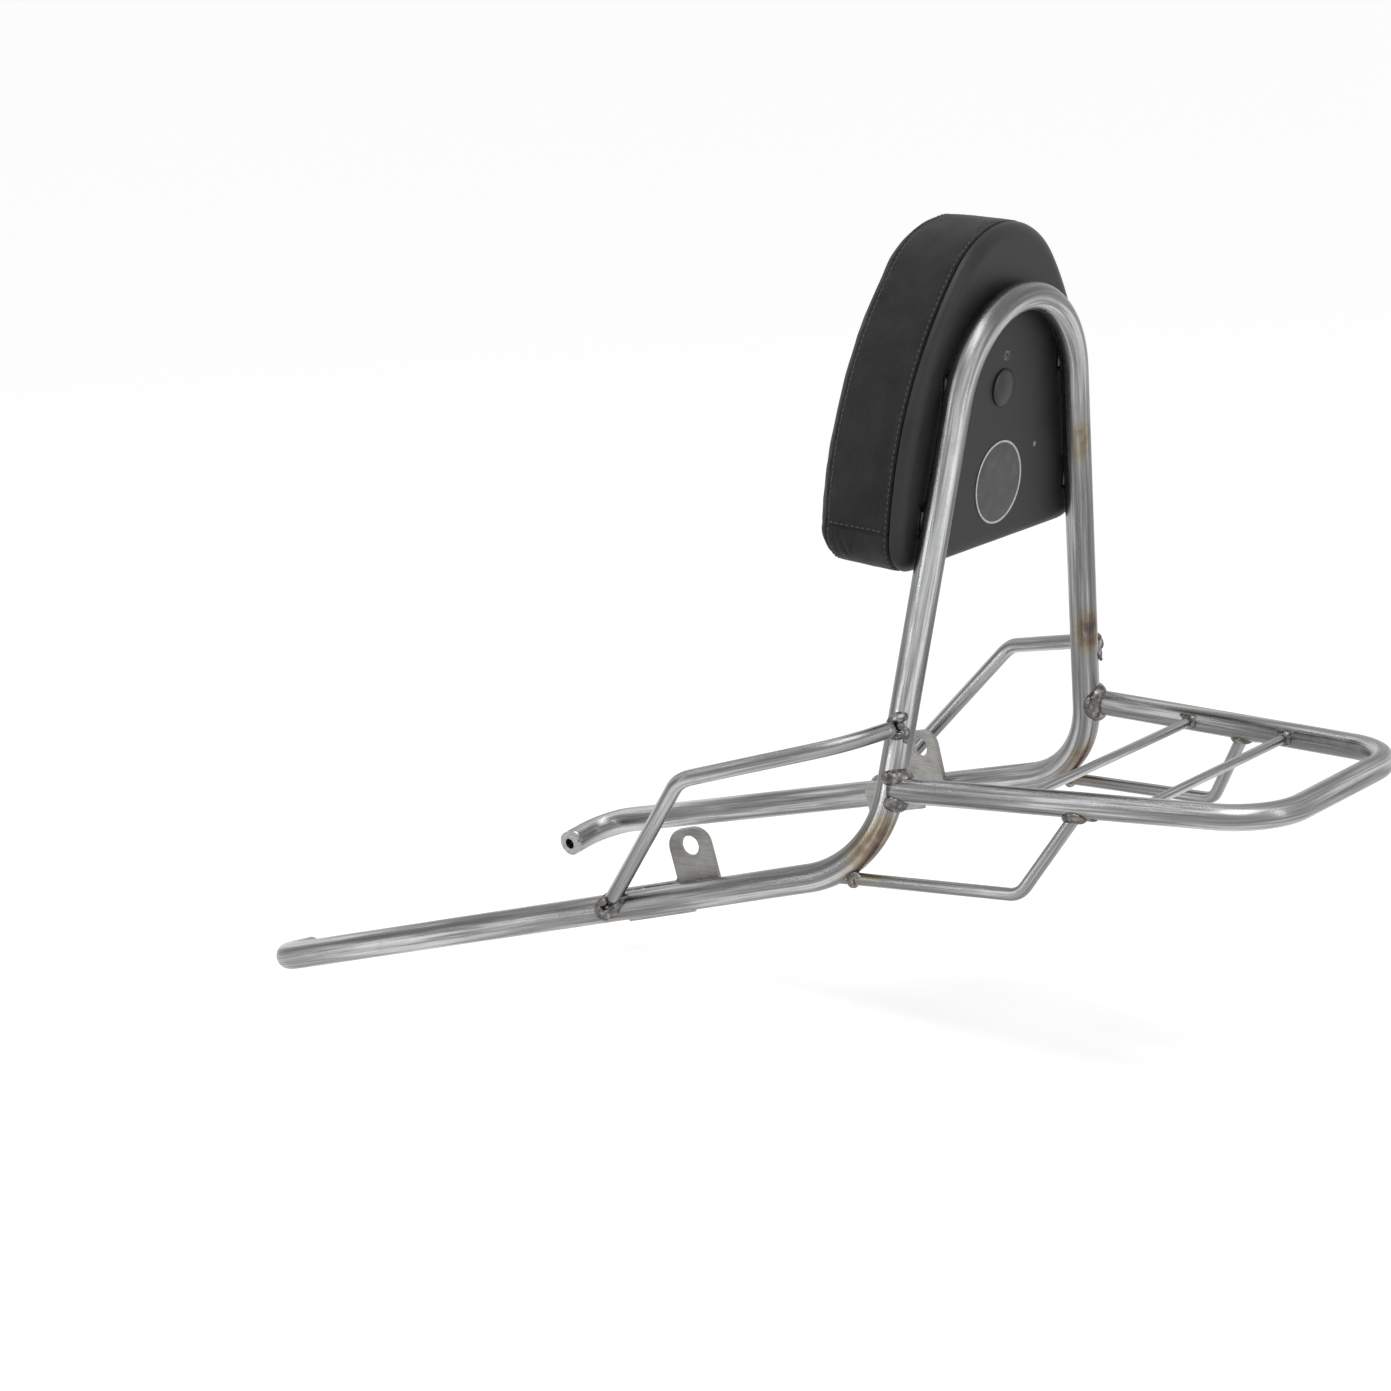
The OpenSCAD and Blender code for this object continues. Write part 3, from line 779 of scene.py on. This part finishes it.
def build_welds():
    upright = Vector((0, 0, 1))
    leg_tube = (leg_at(0), leg_dir, TUBE_R)
    rack_tube = (rack_at(0), rack_dir, RACK_R)
    rail_tube = (corner, rail_dir, TUBE_R)
    bm = bmesh.new()
    for sign, _ in SIDES:
        seed = 1.3 if sign > 0 else 2.1
        ring_bead(bm, joint(sign, rack_at(0), rack_at(60), RACK_R, leg_tube), 4.3, seed, 0.3, 2.8)
    finish_bead(bm, "rack_weld_beads", "rack_welds")
    bm = bmesh.new()
    for s in (FRONT_BAR, REAR_BAR):
        for sign, _ in SIDES:
            at = rack_at(s)
            ring_bead(bm, joint(sign, at, at - Vector((0, 30, 0)), BAR_R, rack_tube), 2.3, s * 0.1 + sign)
            side_blob(bm, sign, at + Vector((4.5, -7.0, 3.4)), rack_dir, upright, (3.4, 2.2, 1.7))
            side_blob(bm, sign, at + Vector((-4.6, -6.9, 3.6)), rack_dir, upright, (2.8, 1.9, 1.5))
    finish_bead(bm, "crossbar_weld_beads", "crossbar_welds")
    bm = bmesh.new()
    for sign, _ in SIDES:
        top = rack_at(STRUT_TOP)
        ring_bead(bm, joint(sign, top, strut_points[1], STRUT_R, rack_tube), 2.8, 4.4 + sign, 0.3, 2.4)
        for end in (-6.2, 6.2):
            side_blob(bm, sign, top + rack_dir * end + Vector((0, 1.5, -7.6)), rack_dir, -upright, (4.2, 3.0, 1.6))
    strut_foot(bm)
    finish_bead(bm, "strut_weld_beads", "strut_welds")
    bm = bmesh.new()
    for sign, _ in SIDES:
        foot, knee, elbow, end = grab_points
        ring_bead(bm, joint(sign, foot, knee, GRAB_R, rail_tube), 3.0, 6.1 + sign, 0.3, 2.6)
        up = Vector((0.2, 0.5, 0.8)).normalized()
        side_blob(bm, sign, foot + rail_dir * 4.8 + Vector((0, 3.2, 0.2)), rail_dir, up, (4.2, 3.6, 3.0))
        up = Vector((0.2, 0.3, 0.9)).normalized()
        side_blob(bm, sign, foot - rail_dir * 8.5 + Vector((0, 2.0, 1.2)), rail_dir, up, (6.0, 2.6, 2.0))
        ring_bead(bm, joint(sign, end, elbow, GRAB_R, leg_tube), 3.1, 8.7 + sign, 0.3, 2.6)
        out = Vector((-0.55, 0.83, 0)).normalized()
        skin = leg_at(GRAB_END) + out * (TUBE_R + 0.3)
        for dz, dx, size in ((5.5, 3.0, 2.7), (1.0, 1.2, 3.2), (-4.5, 0.5, 2.6), (-8.5, -2.5, 1.5)):
            side_blob(bm, sign, skin + Vector((dx, 0, dz)), leg_dir, out, (size, size, size * 0.9))
    finish_bead(bm, "grab_rail_weld_beads", "grab_rail_welds")
    bm = bmesh.new()
    for sign, _ in SIDES:
        for along in (HOLE_ALONG + TAB_W / 2 + 4.5, HOLE_ALONG + TAB_W / 2 + 33.5):
            a = corner + rail_dir * (along - 3.6) + rail_in * 8.2 - rail_up * 7.4
            line_bead(bm, sign, a, a + rail_dir * 7.2, -rail_up, 2.7, along)
        a = corner + rail_dir * (HOLE_ALONG - TAB_W / 2 + 6) + rail_in * 8.2 + rail_up * 7.2
        for start, length in ((0, 10), (24, 12), (50, 9)):
            line_bead(bm, sign, a + rail_dir * start, a + rail_dir * (start + length), rail_up, 1.7, start)
    finish_bead(bm, "bracket_weld_beads", "bracket_welds")


def strut_foot(bm):
    """Bead where each strut's front end runs up against the underside of the hoop's lower bend."""
    foot, bend = strut_points[0], strut_points[1]
    d = (foot - bend).normalized()
    u = d.orthogonal().normalized()
    v = d.cross(u)
    for sign, _ in SIDES:
        for k, t in enumerate(circle(16)):
            out = u * math.cos(t) + v * math.sin(t)
            size = 2.3 * (1 + 0.25 * noise.noise(Vector((k * 0.9, 3.1, sign))))
            side_blob(bm, sign, foot - d * 9.5 + out * (STRUT_R + 0.2), d, out, (2.6, size, size * 0.9))
        for place in ((-11.5, 1.5, 4.2), (-7, 3.0, 4.6), (-14, 0.5, 2.0)):
            side_blob(bm, sign, foot + Vector(place), d, Vector((0, 0, 1)), (3.0, 2.4, 2.4))


build_welds()


def bracket_outline(inset):
    """Bracket's outline along the rail and up, drawn in by inset, and its hole's circle grown by as much."""
    rear = HOLE_ALONG - TAB_W / 2
    tab_front = rear + TAB_W
    foot_end = tab_front + FOOT_LEN
    foot_up = FOOT_UP - FOOT_DROP
    top = HOLE_UP + HOLE_D / 2 + TAB_OVER
    loop = [(rear, -TAB_DOWN)]
    for x, start in ((rear + TAB_R, 180), (tab_front - TAB_R, 90)):
        for a in range(0, 91, 9):
            t = math.radians(start - a)
            loop.append((x + TAB_R * math.cos(t), top - TAB_R + TAB_R * math.sin(t)))
    loop += [(tab_front, foot_up + 2), (tab_front + 2, foot_up), (foot_end - 1.5, foot_up), (foot_end, foot_up - 1.5),
             (foot_end, -FOOT_DOWN + 1.5), (foot_end - 1.5, -FOOT_DOWN),
             (tab_front - 6, -FOOT_DOWN), (tab_front - 6, -TAB_DOWN)]
    pts = [Vector(q) for q in loop]
    moved = []
    for i, q in enumerate(pts):
        before = (q - pts[i - 1]).normalized()
        after = (pts[(i + 1) % len(pts)] - q).normalized()
        n1, n2 = Vector((before.y, -before.x)), Vector((after.y, -after.x))
        m = (n1 + n2) / max(0.35, 1 + n1.dot(n2))
        moved.append(q + m * inset)
    r = HOLE_D / 2 + inset
    hole = [Vector((HOLE_ALONG + r * math.cos(t), HOLE_UP + r * math.sin(t))) for t in circle(40)]
    return moved, hole


def build_brackets():
    near = ((0, PLATE_EDGE), (PLATE_EDGE * 0.3, PLATE_EDGE * 0.3), (PLATE_EDGE, 0))
    layers = near + tuple((PLATE_T - depth, inset) for depth, inset in reversed(near))
    for sign, name in SIDES:
        bm = bmesh.new()
        loops = []
        for depth, inset in layers:
            base = corner + rail_in * (TUBE_R + depth)
            loops.append([[bm.verts.new(side_point(base + rail_dir * q.x + rail_up * q.y, sign)) for q in loop]
                          for loop in bracket_outline(inset)])
        for a, b in zip(loops, loops[1:]):
            for pair in zip(a, b):
                bridge(bm, pair)
        for rim in (loops[0], loops[-1]):
            edges = [bm.edges.get((loop[k], loop[(k + 1) % len(loop)])) for loop in rim for k in range(len(loop))]
            bmesh.ops.triangle_fill(bm, use_beauty=True, use_dissolve=False, edges=edges)
        node = name + "_bracket"
        keep(node + "_plate", from_bmesh(bm, node), PLATE, [node], smooth=False)


build_brackets()

# Half the pad's outline from the middle of the bottom edge to the crown. A line has two ends and its normal,
# an arc has its centre, radius and two angles
side_x = SIDE_R - PAD_HALF
shoulder = math.atan2(CROWN_Z - SIDE_TOP, side_x)
flat = PAD_HALF - PAD_CORNER_R
PIECES = (("line", Vector((0, PAD_LOW)), Vector((flat, PAD_LOW)), Vector((0, -1))),
          ("arc", Vector((flat, PAD_LOW + PAD_CORNER_R)), PAD_CORNER_R, (-math.pi / 2, 0.0)),
          ("line", Vector((PAD_HALF, PAD_LOW + PAD_CORNER_R)), Vector((PAD_HALF, SIDE_TOP)), Vector((1, 0))),
          ("arc", Vector((-side_x, SIDE_TOP)), SIDE_R, (0.0, shoulder)),
          ("arc", Vector((0, CROWN_Z)), CROWN_R, (shoulder, math.pi / 2)))
LENGTHS = [(p[2] - p[1]).length if p[0] == "line" else p[2] * (p[3][1] - p[3][0]) for p in PIECES]
HALF_LEN = sum(LENGTHS)


def at_station(s, inset=0.0):
    """Point (y, h) and outward normal of the pad's outline at a distance s round from its bottom middle."""
    mirror = s > HALF_LEN
    if mirror:
        s = 2 * HALF_LEN - s
    for p, size in zip(PIECES, LENGTHS):
        if s <= size + 1e-9:
            break
        s -= size
    f = min(1.0, s / size)
    if p[0] == "line":
        q, n = p[1].lerp(p[2], f), p[3]
    else:
        t = p[3][0] + (p[3][1] - p[3][0]) * f
        n = Vector((math.cos(t), math.sin(t)))
        q = p[1] + n * p[2]
    q = q - n * inset
    return (Vector((-q.x, q.y)), Vector((-n.x, n.y))) if mirror else (q, n)


# Where the outline's points lie, closer beside the cross seam, and the centre that the skin shrinks to
cross_s = LENGTHS[0] + LENGTHS[1] + (CROSS_SEAM - PAD_LOW - PAD_CORNER_R)
even = [HALF_LEN * k / EVEN_STEPS for k in range(1, EVEN_STEPS)]
beside_seam = [cross_s + d for d in (-2.2, -1.1, 0, 1.1, 2.2)]
half_stations = sorted([s for s in even if abs(s - cross_s) > 3.2] + beside_seam)
STATIONS = [0.0] + half_stations + [HALF_LEN] + [2 * HALF_LEN - s for s in reversed(half_stations)]
PAD_CENTRE = Vector((0, 226))


def pad_shell(rows, end_cap):
    """Closed skin through rows of (depth n, inset, drop, scale about the pad's centre)."""
    bm = bmesh.new()
    rings = []
    for n, inset, drop, scale in rows:
        ring = []
        for s in STATIONS:
            q = at_station(s, inset)[0]
            q = PAD_CENTRE + (q - PAD_CENTRE) * scale
            ring.append(bm.verts.new(on_hoop(n, q.x, q.y - drop)))
        rings.append(ring)
    bridge(bm, rings)
    tip = bm.verts.new(on_hoop(end_cap, PAD_CENTRE.x, PAD_CENTRE.y - rows[-1][2]))
    last = rings[-1]
    for k in range(len(last)):
        bm.faces.new((last[k], last[(k + 1) % len(last)], tip))
    bm.faces.new(rings[0][::-1])
    return bm


def build_board():
    seam_n = BOARD_N + BOARD_T
    deep = BOARD_T - 0.6
    edge = [(seam_n, 5.0), (seam_n, 2.2), (seam_n - 0.2, 1.2), (seam_n - 0.6, 0.55), (seam_n - 1.2, 0.2),
            (BOARD_N + deep - 0.9, 0.08)]
    for a in range(9, 91, 9):
        t = math.radians(a)
        edge.append((BOARD_N + deep * (1 - math.sin(t)), BOARD_ROUND * (1 - math.cos(t)) + 0.02))
    rows = [(n, inset, 0, 1) for n, inset in edge]
    rows += [(BOARD_N, BOARD_ROUND, 0, s) for s in (0.975, 0.95, 0.9, 0.82, 0.7, 0.55, 0.4, 0.25, 0.1)]
    bm = pad_shell(rows, BOARD_N)
    ahead = on_hoop(1, 0, 0)
    for v in bm.verts:
        up_edge = min(1.0, max(0.0, (v.co.dot(ahead) - BOARD_N) / BOARD_T))
        v.co += ahead * (0.32 * noise.noise(v.co * 0.03) * up_edge)
    subdivided(keep("pad_board_cover", from_bmesh(bm, "board"), SMOOTH, ["pad_board"]))


def cushion_rows():
    """Depth, inset and drop of each ring: fine steps at the seams, a rounded front edge and a low dome."""
    rows = [(CUSHION_N + d, inset) for d, inset in ((0, 5.0), (0.1, 2.4), (0.5, 1.1), (1.2, 0.45), (2.2, 0.2))]
    n = CUSHION_N + 3.6
    while n < FRONT_SEAM - 9:
        rows.append((n, 0.0))
        n += 3.4
    edge_n = CUSHION_END - EDGE_R
    for d in (-7.4, -5.2, -3.4, -2.2, -1.3, -0.6, 0, 0.6, 1.3, 2.2, 3.3, 4.6, 6.0, 7.3, 8.4, 9.2, 9.8):
        n = FRONT_SEAM + d
        f = min(1.0, max(0.0, (n - edge_n) / EDGE_R))
        rows.append((n, EDGE_R * (1 - math.sqrt(1 - f * f))))
    last_n, last_in = rows[-1]
    full = []
    for n, inset in rows:
        f = (n - CUSHION_N) / (CUSHION_END - CUSHION_N)
        full.append((n, inset + DRAW_IN * f, DROOP * f, 1))
    for k in range(1, 17):
        s = 1 - k / 17
        full.append((last_n + 0.3 + (DOME_T - 2.0) * (1 - s * s) ** 0.8, last_in + DRAW_IN, DROOP, s))
    return full


def inflate(piece, pinned, cap):
    """Cloth with air pressure, held along its seams. No point moves further than cap allows."""
    start = [v.co.copy() for v in piece.data.vertices]
    group = piece.vertex_groups.new(name="sewn")
    group.add(pinned, 1.0, "REPLACE")
    cloth = piece.modifiers.new("cloth", "CLOTH")
    cloth.settings.quality = 5
    cloth.settings.use_pressure = True
    cloth.settings.uniform_pressure_force = CLOTH_PRESSURE
    cloth.settings.vertex_group_mass = "sewn"
    cloth.settings.effector_weights.gravity = 0
    cloth.settings.shrink_min = -0.012
    cloth.settings.tension_stiffness = 12
    cloth.settings.compression_stiffness = 12
    cloth.settings.bending_stiffness = 0.3
    cloth.point_cache.frame_start = 1
    cloth.point_cache.frame_end = CLOTH_FRAMES
    scene = bpy.context.scene
    for f in range(1, CLOTH_FRAMES + 1):
        scene.frame_set(f)
    graph = bpy.context.evaluated_depsgraph_get()
    swollen = [v.co.copy() for v in piece.evaluated_get(graph).data.vertices]
    piece.modifiers.clear()
    scene.frame_set(1)
    for v, a, b in zip(piece.data.vertices, start, swollen):
        move = b - a
        most = cap(a / MM) * MM
        if move.length > most:
            move *= most / move.length
        v.co = a + move


def hoop_place(p):
    """Depth, side and height of a point in the hoop's own frame."""
    return p.x * math.cos(RAKE) + p.z * math.sin(RAKE), p.y, p.z * math.cos(RAKE) - p.x * math.sin(RAKE)


def ditch(x, width):
    """1 in the middle of a soft groove, falling to 0 beside it."""
    return math.exp(-(x / width) ** 2)


def shape_cover(mesh_data):
    """Grooves at the seams, the slack fold beside the rear seam and small creases at the lower corners."""
    mesh_data.update()
    moved = []
    for v in mesh_data.vertices:
        p = v.co / MM
        n, y, h = hoop_place(p)
        sink = 0.8 * ditch(n - FRONT_SEAM, 1.0)
        on_strip = 1.0 if n < FRONT_SEAM + 1 else 0.0
        if n < FRONT_SEAM:
            sink += 0.75 * ditch(h + DROOP * (n - CUSHION_N) / 55 - CROSS_SEAM, 1.0) * (1 if abs(y) > 95 else 0)
        window = between(h, ((160, 0), (180, 1), (222, 1), (262, 0)))
        drift = CUSHION_N + 6.5 + (h - 165) * 0.05
        sink += 1.5 * ditch(n - drift, 3.8) * window * on_strip
        low = between(h, ((132, 0), (137, 1), (150, 1), (154, 0))) * on_strip * (1 if abs(y) > 60 else 0)
        for at, lean, deep in CREASES:
            sink += deep * ditch(n - at - lean * (h - CREASE_H), 0.9) * low
        soft = 0.45 * noise.noise(p * 0.024) + 0.18 * noise.noise(p * 0.075)
        moved.append(v.co + v.normal * ((soft * (1 if n > CUSHION_N + 2 else 0) - sink) * MM))
    for v, co in zip(mesh_data.vertices, moved):
        v.co = co


def cloth_cap(p):
    """How far the cloth may swell at a point: least on the side strip, most on the front."""
    return between(hoop_place(p)[0], ((FRONT_SEAM + 6, 0.4), (CUSHION_END + 1.5, 0.9), (CUSHION_END + 5.5, 3.2)))


def build_cushion():
    rows = cushion_rows()
    bm = pad_shell(rows, rows[-1][0] + 0.1)
    piece = keep("pad_cushion_cover", from_bmesh(bm, "cushion"), LEATHER, ["pad_cushion"])
    size = len(STATIONS)
    seam_row = [r[0] for r in rows].index(FRONT_SEAM)
    pinned = set(range(4 * size)) | set(range(seam_row * size, (seam_row + 1) * size))
    cross = [i for i, s in enumerate(STATIONS) if abs(min(s, 2 * HALF_LEN - s) - cross_s) < 1e-6]
    pinned |= {r * size + i for r in range(seam_row) for i in cross}
    inflate(piece, sorted(pinned), cloth_cap)
    subdivided(piece)
    shape_cover(piece.data)
    return piece


def sew(cushion):
    """Rows of stitches laid on the cover: beside the rear seam, along the front seam and under the cross seam."""
    tree = BVHTree.FromPolygons([v.co / MM for v in cushion.data.vertices],
                                [tuple(f.vertices) for f in cushion.data.polygons])
    bm = bmesh.new()

    def stitch(a, b, na, nb):
        along = (b - a).normalized()
        up = (na + nb).normalized()
        across = along.cross(up).normalized()
        rings = []
        for f, size, sunk in ((0, 0.35, 0.35), (0.15, 0.85, 0.05), (0.5, 1, -0.08),
                              (0.85, 0.85, 0.05), (1, 0.35, 0.35)):
            c = a.lerp(b, f) - up * sunk
            rings.append([bm.verts.new(c + (across * math.cos(t) + up * math.sin(t)) * STITCH_R * size)
                          for t in circle(6)])
        bridge(bm, rings)
        bm.faces.new(rings[0][::-1])
        bm.faces.new(rings[-1])

    def on_cover(s, n):
        q, out = at_station(s)
        drop = DROOP * (n - CUSHION_N) / (CUSHION_END - CUSHION_N)
        start = on_hoop(n, q.x + out.x * 12, q.y - drop + out.y * 12)
        hit, normal, _, _ = tree.ray_cast(start, on_hoop(0, -out.x, -out.y).normalized())
        return hit, normal

    def sew_between(start, end):
        (a, na), (b, nb) = on_cover(*start), on_cover(*end)
        if a is not None and b is not None:
            stitch(a, b, na, nb)

    for n in (CUSHION_N + 2.0, FRONT_SEAM - 1.9):
        count = int(2 * HALF_LEN / STITCH_PITCH)
        for k in range(count):
            s = 2 * HALF_LEN * k / count
            sew_between((s, n), (min(s + STITCH_LEN, 2 * HALF_LEN - 0.01), n))
    for s in (cross_s + 1.9, 2 * HALF_LEN - cross_s - 1.9):
        n = CUSHION_N + 5
        while n < FRONT_SEAM - 5:
            sew_between((s, n), (s, n + STITCH_LEN))
            n += STITCH_PITCH
    keep("seam_stitches", from_bmesh(bm, "stitches"), THREAD)


build_board()
sew(build_cushion())


def turned(profile, y, h, sides):
    """Round piece on the pad's back: profile of (radius, depth), turned about a line square to the board."""
    bm = bmesh.new()
    rings = [[bm.verts.new(on_hoop(BOARD_N + n, y + r * math.cos(t), h + r * math.sin(t))) for t in circle(sides)]
             for r, n in profile]
    bridge(bm, rings)
    bm.faces.new(rings[0][::-1])
    bm.faces.new(rings[-1])
    return bm


def build_back_fittings():
    half = PLUG_D / 2
    dome = [(half - 2.2, 0.3), (half - 0.3, 0.1), (half, -0.25), (half, -0.9), (half - 0.3, -1.3)]
    for k in range(1, 12):
        r = (half - 0.6) * (1 - k / 12)
        dome.append((r, -1.5 - 2.7 * (1 - (r / half) ** 2)))
    keep("plug_cap_dome", from_bmesh(turned(dome, 0, PLUG_Z, 64), "plug"), PLASTIC, ["plug_cap"])
    edge = BADGE_D / 2
    rim = [(edge - 1.7, 0.1), (edge - 0.1, 0.1), (edge, -0.25), (edge, -0.45), (edge - 0.25, -0.6),
           (edge - 1.2, -0.6), (edge - 1.45, -0.45), (edge - 1.5, -0.3), (edge - 1.52, -0.1)]
    rim_mesh = from_bmesh(turned(rim, BADGE_Y, BADGE_Z, 96), "badge_rim")
    keep("badge_rim", rim_mesh, RIM, ["badge_plate"])
    inner = [(edge - 1.45, 0.05), (edge - 1.45, -0.3), (edge - 1.7, -0.34), (edge * 0.6, -0.36), (edge * 0.2, -0.37)]
    keep("badge_face", from_bmesh(turned(inner, BADGE_Y, BADGE_Z, 96), "badge_face"), FACE)


build_back_fittings()


def finish_cad_nodes():
    """Nodes whose CAD shape is right keep it, with a material of their own."""
    looks = {"lug_welds": DARK, "pad_lugs": DARK, "lug_screws": DARK,
             "left_front_bush": TURNED, "right_front_bush": TURNED}
    for name, material in looks.items():
        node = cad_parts[name]
        if not node.material_slots:
            node.data.materials.append(material)
        for slot in node.material_slots:
            slot.material = material


finish_cad_nodes()


def lamp(name, place, aim, size, radiance):
    """Soft box of a given brightness, turned to its aim."""
    data = bpy.data.lights.new(name, "AREA")
    data.shape = "RECTANGLE"
    data.size, data.size_y = size
    data.energy = radiance * math.pi * size[0] * size[1]
    light = bpy.data.objects.new(name, data)
    bpy.context.collection.objects.link(light)
    light.location = place
    light.visible_camera = False
    light.rotation_euler = (Vector(aim) - Vector(place)).to_track_quat("-Z", "Y").to_euler()


def seen_white(tree):
    """1 where the camera, a reflection or a refraction looks, otherwise 0."""
    path = tree.nodes.new("ShaderNodeLightPath")
    seen = path.outputs["Is Camera Ray"]
    for kind in ("Is Glossy Ray", "Is Transmission Ray"):
        either = tree.nodes.new("ShaderNodeMath")
        either.operation = "MAXIMUM"
        tree.links.new(seen, either.inputs[0])
        tree.links.new(path.outputs[kind], either.inputs[1])
        seen = either.outputs["Value"]
    return seen


def rig_light():
    world = bpy.data.worlds.new("studio")
    bpy.context.scene.world = world
    world.use_nodes = True
    tree = world.node_tree
    tree.nodes.clear()
    mixed = tree.nodes.new("ShaderNodeMixShader")
    tree.links.new(seen_white(tree), mixed.inputs["Fac"])
    for index, grey in ((1, SKY), (2, 1)):
        plain = tree.nodes.new("ShaderNodeBackground")
        plain.inputs["Color"].default_value = (grey, grey, grey, 1)
        tree.links.new(plain.outputs["Background"], mixed.inputs[index])
    out = tree.nodes.new("ShaderNodeOutputWorld")
    tree.links.new(mixed.outputs["Shader"], out.inputs["Surface"])
    sun = bpy.data.lights.new("sky_panel", "SUN")
    sun.energy = 1.05
    sun.angle = math.radians(35)
    holder = bpy.data.objects.new("sky_panel", sun)
    bpy.context.collection.objects.link(holder)
    holder.rotation_euler = Vector((0.25, -0.45, -1)).to_track_quat("-Z", "Y").to_euler()
    lamp("ceiling", (0.15, 0.25, 1.5), aim=(0.05, 0, 0), size=(1.9, 0.16), radiance=5.0)
    lamp("rear_strip", (-2.0, 0.1, 0.75), aim=(0, 0, 0.05), size=(0.16, 1.7), radiance=7.0)
    lamp("side_strip", (0.9, 2.1, 0.75), aim=(0, 0, 0.05), size=(0.16, 1.7), radiance=7.0)


def lay_floor():
    """Pale floor that keeps the shadow and reads as white where nothing shades it."""
    bpy.ops.mesh.primitive_plane_add(size=60, location=(0, 0, cad_box[0][2] - FLOOR_GAP))
    floor = bpy.context.object
    floor.name = "floor"
    n = Nodes("floor_paint")
    paint = n.finish((0.93, 0.93, 0.93), 1.0, specular=0.0)
    out = n.tree.nodes["Material Output"]
    lift = n.add("Emission")
    n.link(n.maths("MULTIPLY", seen_white(n.tree), FLOOR_LIFT), lift.inputs["Strength"])
    both = n.add("AddShader")
    n.link(n.shader.outputs["BSDF"], both.inputs[0])
    n.link(lift.outputs["Emission"], both.inputs[1])
    n.link(both.outputs["Shader"], out.inputs["Surface"])
    floor.data.materials.append(paint)


rig_light()
lay_floor()

bpy.context.scene.view_settings.view_transform = "Standard"
